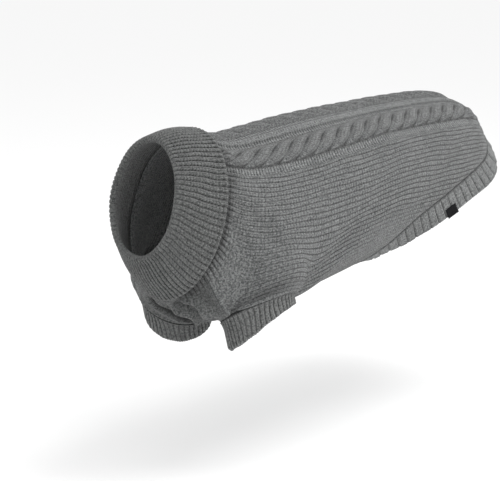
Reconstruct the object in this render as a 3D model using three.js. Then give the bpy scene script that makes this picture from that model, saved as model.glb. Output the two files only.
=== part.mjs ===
import * as THREE from "three";

// Dog sweater in millimetres: +X to the tail, +Y to the wearer's right, +Z up, origin inside the cloth on the spine
const SIDE_LEFT = -1;
const SIDE_RIGHT = 1;
const SEAM_GAP = 0.3;
const CUFF_GAP = 1.2;
const CUFF_INSET = 3.1;
const KNIT_WALL = 2.2;
const COLLAR_WALL = 2.6;
const FOLD_GAP = 1.1;
const BAND_WALL = 2.4;
const CUFF_WALL = 2.2;

// Body rings: spine point, belly point, half width, how far the widest place sinks
const BODY_RINGS = [
  { spineX: -196.3, spineZ: -0.3, bellyX: -238.7, bellyZ: -138.7, half: 48.7, low: 0.0 },
  { spineX: -185.0, spineZ: -3.0, bellyX: -230.0, bellyZ: -143.0, half: 50.4, low: 0.0 },
  { spineX: -150.0, spineZ: -8.5, bellyX: -215.0, bellyZ: -157.0, half: 63.0, low: 0.05 },
  { spineX: -115.0, spineZ: -6.5, bellyX: -180.0, bellyZ: -168.0, half: 72.0, low: 0.1 },
  { spineX: -70.0, spineZ: -3.5, bellyX: -125.0, bellyZ: -171.5, half: 77.0, low: 0.13 },
  { spineX: 0.0, spineZ: 0.0, bellyX: -30.0, bellyZ: -170.0, half: 78.0, low: 0.07 },
  { spineX: 60.0, spineZ: 1.8, bellyX: 50.0, bellyZ: -161.0, half: 78.0, low: 0.03 },
  { spineX: 150.0, spineZ: 2.0, bellyX: 150.0, bellyZ: -160.0, half: 77.0, low: 0.0 },
  { spineX: 225.0, spineZ: -1.5, bellyX: 226.0, bellyZ: -160.0, half: 73.0, low: 0.0 },
  { spineX: 300.0, spineZ: -24.0, bellyX: 300.0, bellyZ: -158.0, half: 60.0, low: 0.0 },
];
const NECK_START = -196.3;
const NECK_AXIS = [-0.956, 0, 0.292];
const SEAM_REACH = 7;
const SEAM_ROLL = 0.5;

// Hem seam: share of the half girth from the spine, and the ring it lies on
const HEM_LINE = [
  { share: 0.0, ring: 249 },
  { share: 0.1, ring: 250 },
  { share: 0.2, ring: 245 },
  { share: 0.3, ring: 236 },
  { share: 0.38, ring: 231 },
  { share: 0.44, ring: 215 },
  { share: 0.54, ring: 145 },
  { share: 0.63, ring: 90 },
  { share: 0.75, ring: 60 },
  { share: 0.88, ring: 47 },
  { share: 1.0, ring: 43 },
];
const PANEL_SEAM = 0.75;

// Armhole: centre, radii and slopes of its ring, and the rings where it begins and ends
const ARMHOLE = {
  x: -150, y: 51, z: -165.5, radiusX: 42, radiusY: 28.5, riseBack: 0.02, riseOut: 0.58,
  ringFront: -144, ringBack: -80, easeFront: 34, easeBack: 85, sideStart: 0.28, spread: 34,
};
// The right leg hole stands forward, and the cloth inside it hangs lower
const STANCE_LEFT = { x: 0, z: 0, tilt: 0, rise: 0 };
const STANCE_RIGHT = { x: -6, z: -6, tilt: 0.15, rise: 7 };
const CUFF_EDGE = { x: -144, y: 52, z: -188, radiusX: 39.4, radiusY: 28, riseBack: 0.3, riseOut: 0.58 };

// Collar rings from the free edge to the fold rim, for the inner face of the turned-down layer
const COLLAR_RINGS = [
  { share: 0.0, x: -208.0, z: -73.0, half: 56.0, tall: 80.0, tilt: 18 },
  { share: 0.18, x: -217.5, z: -69.5, half: 52.4, tall: 76.3, tilt: 17 },
  { share: 0.6, x: -236.0, z: -61.0, half: 46.8, tall: 67.5, tilt: 15 },
  { share: 1.0, x: -252.0, z: -53.0, half: 40.0, tall: 56.0, tilt: 13 },
];
const COLLAR_SEAM = 0.18;

// Knit relief across the back panel, in millimetres from the spine at mid body
const HALF_GIRTH = 250;
const CENTRE_CABLE_HALF = 11;
const RIDGE_PLACE = 23;
const RIDGE_HALF = 2.6;
const SIDE_CABLE_NEAR = 34;
const SIDE_CABLE_FAR = 59;
const RIBS_START = 69;
const RIB_COUNT = 26;
const RIB_RISE = 1.2;
const RIDGE_RISE = 1.4;
const CABLE_RISE = 3.4;
const CABLE_PITCH = 24;
const CABLE_LEAN = 20;
const CABLE_SWEEP = 6;
const RELIEF_EASE = 16;
const RIB_FADE = 26;

const ROWS = { rib: 15, lowRib: 18, cable: 68, armhole: 15, inside: 11 };
const COLLAR_RIBS = 80;
const COLLAR_RIB_RISE = 1.3;
const CUFF_RIBS = 44;
const CUFF_RIB_RISE = 0.9;
const HEM_RIBS = 60;
const HEM_RIB_RISE = 1.1;
const HEM_WIDTH = 23;
const HEM_GAP = 0.6;
const HEM_DROOP = [
  { share: 0.0, fall: 0.7 },
  { share: 0.2, fall: 0.75 },
  { share: 0.3, fall: 0.5 },
  { share: 0.38, fall: 0.1 },
  { share: 0.46, fall: -0.4 },
  { share: 0.6, fall: -0.3 },
  { share: 0.75, fall: -0.1 },
  { share: 1.0, fall: 0 },
];
const LABEL = { share: 0.555, width: 15, start: 0.55, end: 1.0, lift: 0.35, wall: 1.0 };

const add = (a, b, k = 1) => [a[0] + b[0] * k, a[1] + b[1] * k, a[2] + b[2] * k];
const take = (a, b) => add(a, b, -1);
const cross = (a, b) => [a[1] * b[2] - a[2] * b[1], a[2] * b[0] - a[0] * b[2], a[0] * b[1] - a[1] * b[0]];
const size = (a) => Math.hypot(a[0], a[1], a[2]);
const unit = (a) => a.map((value) => value / size(a));
const clamp = (value, low, high) => Math.min(high, Math.max(low, value));
const ease = (value) => {
  const t = clamp(value, 0, 1);
  return t * t * (3 - 2 * t);
};

// Smooth curve through one column of a table
function curve(rows, key, column, at) {
  let i = 0;
  while (i < rows.length - 2 && at > rows[i + 1][key]) {
    i += 1;
  }
  const slope = (j) => {
    const a = rows[Math.max(0, j - 1)];
    const b = rows[Math.min(rows.length - 1, j + 1)];
    return (b[column] - a[column]) / (b[key] - a[key]);
  };
  const from = rows[i];
  const to = rows[i + 1];
  const span = to[key] - from[key];
  const t = clamp((at - from[key]) / span, 0, 1);
  const h = t * t * (3 - 2 * t);
  const start = t * (1 - t) * (1 - t) * span * slope(i);
  const end = -t * t * (1 - t) * span * slope(i + 1);
  return from[column] * (1 - h) + to[column] * h + start + end;
}

const SECTION_STEPS = 72;
const sectionCache = new Map();

// Half section of one ring, from the spine to the belly, with its arc lengths
function section(ring) {
  const key = ring.toFixed(4);
  if (sectionCache.has(key)) {
    return sectionCache.get(key);
  }
  const get = (column) => curve(BODY_RINGS, "spineX", column, ring);
  const spine = [ring, get("spineZ")];
  const belly = [get("bellyX"), get("bellyZ")];
  const half = get("half");
  const low = get("low");
  const points = [];
  const arcs = [0];
  for (let i = 0; i <= SECTION_STEPS; i += 1) {
    const angle = (Math.PI * i) / SECTION_STEPS;
    const down = (1 - Math.cos(angle)) / 2;
    const out = half * Math.sin(angle) * (1 - low * Math.cos(angle));
    points.push([spine[0] + (belly[0] - spine[0]) * down, out, spine[1] + (belly[1] - spine[1]) * down]);
    if (i > 0) {
      arcs.push(arcs[i - 1] + size(take(points[i], points[i - 1])));
    }
  }
  const made = { points, arcs, total: arcs[SECTION_STEPS] };
  sectionCache.set(key, made);
  return made;
}

function basePoint(ring, share) {
  const { points, arcs, total } = section(ring);
  const reach = Math.abs(share) * total;
  let i = 0;
  while (i < SECTION_STEPS - 1 && arcs[i + 1] < reach) {
    i += 1;
  }
  const t = clamp((reach - arcs[i]) / (arcs[i + 1] - arcs[i]), 0, 1);
  const p = add(points[i], take(points[i + 1], points[i]), t);
  return [p[0], p[1] * Math.sign(share || 1), p[2]];
}

const stanceOf = (side) => (side === SIDE_RIGHT ? STANCE_RIGHT : STANCE_LEFT);

// Point of the armhole ring: 0 in front, half a turn behind, by the outer or the inner way
function armholePoint(turn, way, side) {
  const angle = Math.PI * turn;
  const dx = -ARMHOLE.radiusX * Math.cos(angle);
  const dy = ARMHOLE.radiusY * Math.sin(angle) * way;
  const stance = stanceOf(side);
  const z = ARMHOLE.z + stance.z + dx * ARMHOLE.riseBack + dy * (ARMHOLE.riseOut + stance.tilt);
  return [ARMHOLE.x + stance.x + dx, side * (ARMHOLE.y + dy), z];
}

function seamShift(ring, way, side) {
  const turn = clamp((ring - ARMHOLE.ringFront) / (ARMHOLE.ringBack - ARMHOLE.ringFront), 0, 1);
  const anchor = clamp(ring, ARMHOLE.ringFront, ARMHOLE.ringBack);
  const shift = take(armholePoint(turn, way, side), basePoint(anchor, PANEL_SEAM * side));
  const before = ease(1 - (ARMHOLE.ringFront - ring) / ARMHOLE.easeFront);
  const after = ease(1 - (ring - ARMHOLE.ringBack) / ARMHOLE.easeBack);
  return shift.map((value) => value * before * after);
}

// Inner face of the body; the part decides which way a point goes round the armhole
function bodyPoint(ring, share, part) {
  const side = share < 0 ? SIDE_LEFT : SIDE_RIGHT;
  const far = Math.abs(share);
  const base = basePoint(ring, share);
  const way = part === "back" ? 1 : -1;
  let pull = [0, 0, 0];
  if (part === "back") {
    const reach = ease((far - ARMHOLE.sideStart) / (PANEL_SEAM - ARMHOLE.sideStart)) ** 1.6;
    pull = [reach, reach, reach];
  } else {
    const seam = basePoint(ring, PANEL_SEAM * side);
    const middle = basePoint(ring, 1);
    const across = base[1] / seam[1];
    const up = (base[2] - middle[2]) / (seam[2] - middle[2]);
    pull = [up, across, up];
  }
  const spread = ARMHOLE.spread * (1 - pull[1]);
  let shift = [0, 0, 0];
  for (const step of [-1, -0.5, 0, 0.5, 1]) {
    shift = add(shift, seamShift(ring + step * spread, way, side), 1 / 5);
  }
  return base.map((value, i) => value + shift[i] * pull[i]);
}

const hemRing = (share) => curve(HEM_LINE, "share", "ring", Math.min(1, Math.abs(share)));

function bodyNormal(ring, share, part) {
  const limit = part === "back" ? PANEL_SEAM : 1.3;
  const floor = part === "back" ? 0 : PANEL_SEAM;
  const step = 0.004;
  const reach = 1.2;
  const clipShare = (value) => {
    if (part === "back") {
      return clamp(value, -limit, limit);
    }
    return value;
  };
  const lowShare = part === "belly" ? Math.max(floor, share - step) : clipShare(share - step);
  const highShare = part === "belly" ? Math.min(2 - floor, share + step) : clipShare(share + step);
  const at = (r, s) => fullPoint(r, s, part);
  const across = take(at(ring, highShare), at(ring, lowShare));
  const along = take(at(ring + reach, share), at(Math.max(NECK_START, ring - reach), share));
  return unit(cross(along, across));
}

// Both panels lean the same way where they meet at the seam
function seamNormal(ring, share, part) {
  const own = bodyNormal(ring, share, part);
  if (ring - NECK_START < SEAM_GAP) {
    const lean = NECK_AXIS[0] * own[0] + NECK_AXIS[2] * own[2];
    return unit(add(own, NECK_AXIS, -lean));
  }
  const apart = ring > ARMHOLE.ringFront && ring < ARMHOLE.ringBack;
  const far = share > 1 ? 2 - share : Math.abs(share);
  const reach = Math.abs(far - PANEL_SEAM) * HALF_GIRTH;
  const blend = 1 - ease(reach / SEAM_REACH);
  if (apart || blend === 0) {
    return own;
  }
  const side = share > 1 || share < 0 ? SIDE_LEFT : SIDE_RIGHT;
  const back = bodyNormal(ring, side * PANEL_SEAM, "back");
  const belly = bodyNormal(ring, side < 0 ? 2 - PANEL_SEAM : PANEL_SEAM, "belly");
  return unit(add(add([0, 0, 0], own, 1 - blend), unit(add(back, belly)), blend));
}

// The outer edge at a seam lies back from it a little, as knit edges roll
function seamLean(ring, share, part) {
  const far = share > 1 ? 2 - share : Math.abs(share);
  if (Math.abs(far - PANEL_SEAM) * HALF_GIRTH > SEAM_GAP * 3) {
    return [0, 0, 0];
  }
  const inward = (part === "back" ? -0.01 : 0.01) * (share > 1 || share < 0 ? -1 : 1);
  const way = take(fullPoint(ring, share + inward, part), fullPoint(ring, share, part));
  return unit(way).map((value) => value * SEAM_ROLL);
}

// Share past 1 goes on round the belly to the other side
function fullPoint(ring, share, part) {
  if (part === "belly" && share > 1) {
    return bodyPoint(ring, -(2 - share), part);
  }
  return bodyPoint(ring, share, part);
}

// Twisted rope relief: q runs across the cable, place runs along it
function cableRise(q, place, turn) {
  const shift = CABLE_LEAN * q + CABLE_SWEEP * q ** 3;
  const lobe = Math.abs(Math.cos((Math.PI * (place + turn * shift)) / CABLE_PITCH));
  const round = Math.sqrt(Math.max(0, 1 - q * q));
  return CABLE_RISE * round * (0.3 + 0.7 * lobe ** 0.8);
}

// Columns of the outer face: place from the spine, rows and relief
function backColumns() {
  const columns = [];
  const put = (place, rows, rise, extra = 0) => columns.push({ place, rows, rise, extra });
  const cableSteps = 6;
  const centreMiddle = 0;
  for (let i = -cableSteps / 2; i <= cableSteps / 2; i += 1) {
    const q = (2 * i) / cableSteps;
    put(centreMiddle + q * CENTRE_CABLE_HALF, ROWS.cable, (along) => cableRise(q, along, 1));
  }
  for (const side of [SIDE_LEFT, SIDE_RIGHT]) {
    put(side * (RIDGE_PLACE - RIDGE_HALF - 2), ROWS.rib, () => 0);
    put(side * (RIDGE_PLACE - RIDGE_HALF), ROWS.rib, () => RIDGE_RISE);
    put(side * RIDGE_PLACE, ROWS.rib, () => RIDGE_RISE * 0.55);
    put(side * (RIDGE_PLACE + RIDGE_HALF), ROWS.rib, () => RIDGE_RISE);
    put(side * (RIDGE_PLACE + RIDGE_HALF + 2), ROWS.rib, () => 0);
    const middle = (SIDE_CABLE_NEAR + SIDE_CABLE_FAR) / 2;
    const half = (SIDE_CABLE_FAR - SIDE_CABLE_NEAR) / 2;
    for (let i = -cableSteps / 2; i <= cableSteps / 2; i += 1) {
      const q = (2 * i) / cableSteps;
      put(side * (middle + q * half), ROWS.cable, (along) => cableRise(q, along, 1));
    }
    put(side * (RIBS_START - 3), ROWS.rib, () => 0);
    const edge = PANEL_SEAM * HALF_GIRTH;
    const pitch = (edge - RIBS_START) / RIB_COUNT;
    for (let i = 0; i < RIB_COUNT; i += 1) {
      const rows = i < RIB_COUNT / 3 ? ROWS.rib : ROWS.lowRib;
      const extra = i < RIB_COUNT - 5 ? 0 : ROWS.armhole;
      put(side * (RIBS_START + pitch * (i + 0.25)), extra ? ROWS.inside : rows, () => RIB_RISE, extra);
      put(side * (RIBS_START + pitch * (i + 0.75)), extra ? ROWS.inside : rows, () => 0, extra);
    }
    put(side * edge, ROWS.inside, () => 0.3, ROWS.armhole);
  }
  return columns.sort((a, b) => a.place - b.place);
}

// Mesh of one closed body: lists of points and triangles
function sheetMesh() {
  const points = [];
  const faces = [];
  const put = (point) => points.push(point) - 1;
  // Triangles between two runs of points that share one running value
  const zip = (a, b) => {
    let i = 0;
    let j = 0;
    while (i < a.length - 1 || j < b.length - 1) {
      const nextA = i < a.length - 1 ? a[i + 1].at : Infinity;
      const nextB = j < b.length - 1 ? b[j + 1].at : Infinity;
      if (nextA <= nextB) {
        faces.push([a[i].id, a[i + 1].id, b[j].id]);
        i += 1;
      } else {
        faces.push([a[i].id, b[j + 1].id, b[j].id]);
        j += 1;
      }
    }
  };
  return { points, faces, put, zip };
}

function meshOf(name, sheet, colour) {
  const volume = sheet.faces.reduce((sum, [a, b, c]) => {
    const [p, q, r] = [sheet.points[a], sheet.points[b], sheet.points[c]];
    return sum + p[0] * cross(q, r)[0] + p[1] * cross(q, r)[1] + p[2] * cross(q, r)[2];
  }, 0);
  const faces = volume < 0 ? sheet.faces.map(([a, b, c]) => [a, c, b]) : sheet.faces;
  const geometry = new THREE.BufferGeometry();
  geometry.setAttribute("position", new THREE.Float32BufferAttribute(sheet.points.flat(), 3));
  geometry.setIndex(faces.flat());
  geometry.computeVertexNormals();
  const mesh = new THREE.Mesh(geometry, new THREE.MeshStandardMaterial({ color: colour, roughness: 0.95 }));
  mesh.name = name;
  return mesh;
}

// Rings of one column: even rows to the hem, with extra rows beside the armhole
function rowPlaces(column) {
  const share = column.place / HALF_GIRTH;
  const end = hemRing(share > 1 ? share - 2 : share);
  const places = [];
  for (let k = 0; k < column.rows; k += 1) {
    places.push(NECK_START + ((end - NECK_START) * k) / (column.rows - 1));
  }
  if (!column.extra) {
    return places;
  }
  const front = ARMHOLE.ringFront;
  const back = ARMHOLE.ringBack;
  const kept = places.filter((ring) => ring < front - 3 || ring > back + 3);
  for (let k = 0; k < column.extra; k += 1) {
    kept.push(front + ((back - front) * k) / (column.extra - 1));
  }
  return kept.sort((a, b) => a - b);
}

// Closed wall from columns that run along the cloth: outer and inner runs, joined round the four edges
function wallPanel(name, colour, outer, inner, pointAt) {
  const sheet = sheetMesh();
  const run = (column, lift) => {
    return rowPlaces(column).map((ring) => ({ id: sheet.put(pointAt(column, ring, lift)), at: ring }));
  };
  const out = outer.map((column) => run(column, true));
  const into = inner.map((column) => run(column, false));
  for (let i = 0; i + 1 < out.length; i += 1) {
    sheet.zip(out[i], out[i + 1]);
  }
  for (let i = 0; i + 1 < into.length; i += 1) {
    sheet.zip(into[i + 1], into[i]);
  }
  sheet.zip(into[0], out[0]);
  sheet.zip(out[out.length - 1], into[into.length - 1]);
  const across = (runs, columns, last) => runs.map((made, i) => {
    const stop = last ? made[made.length - 1] : made[0];
    return { id: stop.id, at: columns[i].place };
  });
  sheet.zip(across(out, outer, false), across(into, inner, false));
  sheet.zip(across(into, inner, true), across(out, outer, true));
  return meshOf(name, sheet, colour);
}

function backPanel() {
  const edge = PANEL_SEAM * HALF_GIRTH;
  const outer = backColumns();
  const inner = [];
  const insideSteps = 24;
  const flankPlaces = [86, 101, 117, 133, 148, 164];
  for (let i = 0; i <= insideSteps; i += 1) {
    inner.push({ place: -edge + (2 * edge * i) / insideSteps, rows: ROWS.inside, extra: ROWS.armhole });
  }
  for (const place of flankPlaces) {
    inner.push({ place, rows: ROWS.inside, extra: ROWS.armhole });
    inner.push({ place: -place, rows: ROWS.inside, extra: ROWS.armhole });
  }
  inner.sort((a, b) => a.place - b.place);
  const pointAt = (column, ring, lift) => {
    const share = clamp(column.place, -edge, edge) / HALF_GIRTH;
    const end = hemRing(share);
    const point = bodyPoint(ring, share, "back");
    if (!lift) {
      return point;
    }
    const along = ring - NECK_START;
    const low = ease((Math.abs(share) - 0.38) / 0.27);
    const start = ease((along - 6 - RIB_FADE * low) / (RELIEF_EASE + RIB_FADE * low));
    const fade = start * (0.25 + 0.75 * ease((end - ring) / RELIEF_EASE));
    const raised = add(point, seamNormal(ring, share, "back"), KNIT_WALL + column.rise(along) * fade);
    return add(raised, seamLean(ring, share, "back"));
  };
  return wallPanel("back_panel", 0x7d8084, outer, inner, pointAt);
}

function bellyPanel() {
  const start = PANEL_SEAM * HALF_GIRTH + SEAM_GAP * 2;
  const end = 2 * HALF_GIRTH - start;
  const columnsOf = (steps) => {
    const made = [];
    for (let i = 0; i <= steps; i += 1) {
      const place = start + ((end - start) * i) / steps;
      made.push({ place, rows: ROWS.inside, extra: ROWS.armhole });
    }
    return made;
  };
  const outer = columnsOf(16);
  const inner = columnsOf(12);
  const pointAt = (column, ring, lift) => {
    const share = column.place / HALF_GIRTH;
    const point = fullPoint(ring, share, "belly");
    if (!lift) {
      return point;
    }
    const raised = add(point, seamNormal(ring, share, "belly"), KNIT_WALL);
    return add(raised, seamLean(ring, share, "belly"));
  };
  return wallPanel("belly_panel", 0x74777b, outer, inner, pointAt);
}

// Tube closed round its ring: each loop has its own number of stops
function loopSolid(name, colour, loops) {
  const sheet = sheetMesh();
  const made = loops.map((loop) => {
    const stops = [];
    for (let i = 0; i < loop.stops; i += 1) {
      const at = i / loop.stops;
      stops.push({ id: sheet.put(loop.point(at)), at });
    }
    stops.push({ id: stops[0].id, at: 1 });
    return stops;
  });
  for (let i = 0; i < made.length; i += 1) {
    sheet.zip(made[(i + 1) % made.length], made[i]);
  }
  return meshOf(name, sheet, colour);
}

function collarPoint(share, grow, push, turn) {
  const get = (column) => curve(COLLAR_RINGS, "share", column, share);
  const tilt = THREE.MathUtils.degToRad(get("tilt"));
  const axis = [-Math.cos(tilt), 0, Math.sin(tilt)];
  const up = [Math.sin(tilt), 0, Math.cos(tilt)];
  const angle = 2 * Math.PI * turn;
  let point = [get("x"), 0, get("z")];
  point = add(point, axis, push);
  point = add(point, up, (get("tall") + grow) * Math.cos(angle));
  return add(point, [0, 1, 0], (get("half") + grow) * Math.sin(angle));
}

function collar() {
  const loops = [];
  const ribWave = (turn) => (1 - Math.cos(2 * Math.PI * COLLAR_RIBS * turn)) / 2;
  const put = (stops, share, grow, push, rib) => {
    const point = (at) => collarPoint(share, grow + rib * COLLAR_RIB_RISE * ribWave(at), push, at);
    loops.push({ stops, point });
  };
  const fine = COLLAR_RIBS * 2;
  const plain = 48;
  put(fine, 0.0, COLLAR_WALL - 0.4, 0, 0.8);
  put(fine, 0.06, COLLAR_WALL, 0, 1);
  put(fine, 0.38, COLLAR_WALL, 0, 1);
  put(fine, 0.72, COLLAR_WALL, 0, 1);
  put(fine, 1.0, COLLAR_WALL - 0.4, 0.5, 0.9);
  put(fine, 1.0, 0.2, 3.0, 0.6);
  put(plain, 1.0, -FOLD_GAP - COLLAR_WALL * 0.7, 2.2, 0);
  put(plain, 1.0, -FOLD_GAP - COLLAR_WALL, 0, 0);
  put(plain, 0.6, -FOLD_GAP - COLLAR_WALL, 0, 0);
  put(plain, COLLAR_SEAM, -FOLD_GAP - COLLAR_WALL, SEAM_GAP, 0);
  put(plain, COLLAR_SEAM, -FOLD_GAP, SEAM_GAP, 0);
  put(plain, 0.6, -FOLD_GAP, 0, 0);
  put(plain, 1.0, -FOLD_GAP, -1.0, 0);
  put(plain, 1.0, 0, -1.0, 0);
  put(plain, 0.6, 0, 0, 0);
  put(plain, COLLAR_SEAM, 0, 0, 0);
  put(plain, 0.0, 0, 0, 0);
  return loopSolid("collar", 0x6e7175, loops);
}

// Seam line of the hem and the way the band hangs from it
function hemFrame(turn) {
  const shareOf = (value) => {
    const wrapped = value - Math.floor(value);
    return wrapped <= 0.5 ? wrapped * 2 : (wrapped - 1) * 2;
  };
  const at = (value) => {
    const share = shareOf(value);
    const part = Math.abs(share) < PANEL_SEAM ? "back" : "belly";
    return bodyPoint(hemRing(share), share, part);
  };
  const share = shareOf(turn);
  const part = Math.abs(share) < PANEL_SEAM ? "back" : "belly";
  const along = unit(take(at(turn + 0.004), at(turn - 0.004)));
  let normal;
  if (Math.abs(share) > 1 - 0.01) {
    normal = [0, 0, -1];
  } else {
    normal = bodyNormal(hemRing(share), part === "belly" ? Math.abs(share) : share, part);
    if (part === "belly" && share < 0) {
      normal = [normal[0], -normal[1], normal[2]];
    }
  }
  let hang = cross(along, normal);
  hang = hang[0] < 0 ? hang.map((value) => -value) : hang;
  const fall = curve(HEM_DROOP, "share", "fall", Math.abs(share));
  hang = unit(add(unit(hang), normal, -fall));
  return { seam: at(turn), normal: unit(normal), hang };
}

function bandPoint(turn, down, lift) {
  const { seam, normal, hang } = hemFrame(turn);
  return add(add(seam, hang, HEM_GAP + down * HEM_WIDTH), normal, lift);
}

function hemBand() {
  const stopsOnRib = 3;
  const ribWave = (turn) => (Math.round(turn * HEM_RIBS * stopsOnRib) % stopsOnRib === 0 ? 0 : 1);
  const fine = HEM_RIBS * stopsOnRib;
  const plain = 72;
  const row = (stops, down, lift, rib) => {
    const point = (at) => bandPoint(at, down, lift + rib * HEM_RIB_RISE * ribWave(at));
    return { stops, point };
  };
  const loops = [
    row(fine, 0, BAND_WALL - 0.4, 0.2),
    row(fine, 0.12, BAND_WALL - 0.2, 1),
    row(fine, 0.9, BAND_WALL, 1),
    row(fine, 1, BAND_WALL - 0.6, 0.7),
    row(plain, 1, 0, 0),
    row(plain, 0.5, 0, 0),
    row(fine, 0, 0, 0),
  ];
  return loopSolid("hem_band", 0x6a6d71, loops);
}

// How far the panel edge at the armhole reaches down, so that the cuff starts clear of it
function armholeDrop(angle, side) {
  let deepest = 0;
  for (const step of [-0.12, 0, 0.12]) {
    const turn = (angle / Math.PI + step + 2) % 2;
    const outside = turn <= 1;
    const share = outside ? turn : 2 - turn;
    const ring = ARMHOLE.ringFront + (ARMHOLE.ringBack - ARMHOLE.ringFront) * share;
    const place = !outside && side < 0 ? 2 - PANEL_SEAM : side * PANEL_SEAM;
    const normal = bodyNormal(ring, place, outside ? "back" : "belly");
    deepest = Math.max(deepest, -normal[2]);
  }
  return CUFF_GAP + (KNIT_WALL + SEAM_GAP) * deepest;
}

function cuff(name, side) {
  const ribWave = (turn) => (1 - Math.cos(2 * Math.PI * CUFF_RIBS * turn)) / 2;
  const point = (turn, down, lift) => {
    const mix = (column) => ARMHOLE[column] + (CUFF_EDGE[column] - ARMHOLE[column]) * down;
    const angle = 2 * Math.PI * turn;
    const dx = -(mix("radiusX") - CUFF_INSET + lift) * Math.cos(angle);
    const dy = (mix("radiusY") - CUFF_INSET + lift) * Math.sin(angle);
    const stance = stanceOf(side);
    const riseBack = -mix("radiusX") * Math.cos(angle) * mix("riseBack");
    const riseOut = mix("radiusY") * Math.sin(angle) * (mix("riseOut") + stance.tilt);
    const riseFront = stance.rise * down * ease((1.4 + Math.cos(angle)) / 2);
    const z = mix("z") + stance.z + riseFront + riseBack + riseOut;
    const drop = down === 0 ? armholeDrop(angle, side) : 0;
    return [mix("x") + stance.x + dx, side * (mix("y") + dy), z - drop];
  };
  const fine = CUFF_RIBS * 2;
  const plain = 36;
  const row = (stops, down, lift, rib) => {
    const at = (turn) => point(turn, down, lift + rib * CUFF_RIB_RISE * ribWave(turn));
    return { stops, point: at };
  };
  const loops = [
    row(fine, 0, CUFF_WALL - 0.5, 0),
    row(fine, 0.18, CUFF_WALL, 1),
    row(fine, 0.9, CUFF_WALL, 1),
    row(fine, 1, CUFF_WALL - 0.6, 0.8),
    row(plain, 1, 0, 0),
    row(plain, 0, 0, 0),
  ];
  return loopSolid(name, 0x6a6d71, loops);
}

function label() {
  const sheet = sheetMesh();
  const turnOf = (share) => 1 - share / 2;
  const steps = 3;
  const lift = BAND_WALL + HEM_RIB_RISE + LABEL.lift;
  const middle = turnOf(LABEL.share);
  const probe = 0.01;
  const stretch = size(take(bandPoint(middle + probe, 1, lift), bandPoint(middle - probe, 1, lift)));
  const width = (LABEL.width * 2 * probe) / stretch;
  const runs = [];
  for (const raise of [lift, lift + LABEL.wall]) {
    for (const down of [LABEL.start, LABEL.end]) {
      const stops = [];
      for (let i = 0; i <= steps; i += 1) {
        const turn = turnOf(LABEL.share) + width * (i / steps - 0.5);
        stops.push({ id: sheet.put(bandPoint(turn, down, raise)), at: i / steps });
      }
      runs.push(stops);
    }
  }
  const [underTop, underEnd, overTop, overEnd] = runs;
  sheet.zip(overTop, overEnd);
  sheet.zip(underEnd, underTop);
  sheet.zip(underTop, overTop);
  sheet.zip(overEnd, underEnd);
  const first = [overTop[0], overEnd[0], underEnd[0], underTop[0]].map((stop) => stop.id);
  const last = [overTop[steps], overEnd[steps], underEnd[steps], underTop[steps]].map((stop) => stop.id);
  sheet.faces.push([first[0], first[1], first[2]], [first[0], first[2], first[3]]);
  sheet.faces.push([last[0], last[2], last[1]], [last[0], last[3], last[2]]);
  return meshOf("label", sheet, 0x17181a);
}

const group = new THREE.Group();
group.name = "dog_sweater";
group.add(backPanel());
group.add(bellyPanel());
group.add(collar());
group.add(hemBand());
group.add(cuff("cuff_left", SIDE_LEFT));
group.add(cuff("cuff_right", SIDE_RIGHT));
group.add(label());
export default group;
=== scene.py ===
import math
import bpy
import numpy as np
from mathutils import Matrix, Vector


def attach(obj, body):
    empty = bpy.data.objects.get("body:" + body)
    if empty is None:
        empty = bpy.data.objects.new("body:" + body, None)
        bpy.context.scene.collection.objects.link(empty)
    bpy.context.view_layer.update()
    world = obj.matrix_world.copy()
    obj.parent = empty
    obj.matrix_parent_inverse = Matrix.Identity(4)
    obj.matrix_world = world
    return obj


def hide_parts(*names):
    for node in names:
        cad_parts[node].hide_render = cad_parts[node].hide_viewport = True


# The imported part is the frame: each knitted piece below is made around it, in its place
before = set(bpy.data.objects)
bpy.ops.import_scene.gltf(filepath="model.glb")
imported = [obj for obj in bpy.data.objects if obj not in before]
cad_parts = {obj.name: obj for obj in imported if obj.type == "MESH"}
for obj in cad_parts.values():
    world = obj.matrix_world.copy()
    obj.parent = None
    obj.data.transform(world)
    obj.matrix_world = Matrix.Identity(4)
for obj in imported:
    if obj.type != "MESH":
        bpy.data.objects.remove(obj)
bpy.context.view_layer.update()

# Tables and sizes are in millimetres, as a knitter gives them, and every mesh is written in metres
MM = 0.001
SIDE_LEFT = -1
SIDE_RIGHT = 1
KNIT_WALL = 2.2
COLLAR_WALL = 2.6
FOLD_GAP = 1.1
BAND_WALL = 2.4
CUFF_WALL = 2.2
SEAM_GAP = 0.3
CUFF_GAP = 1.2
CUFF_INSET = 3.1
HEM_GAP = 0.6

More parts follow.
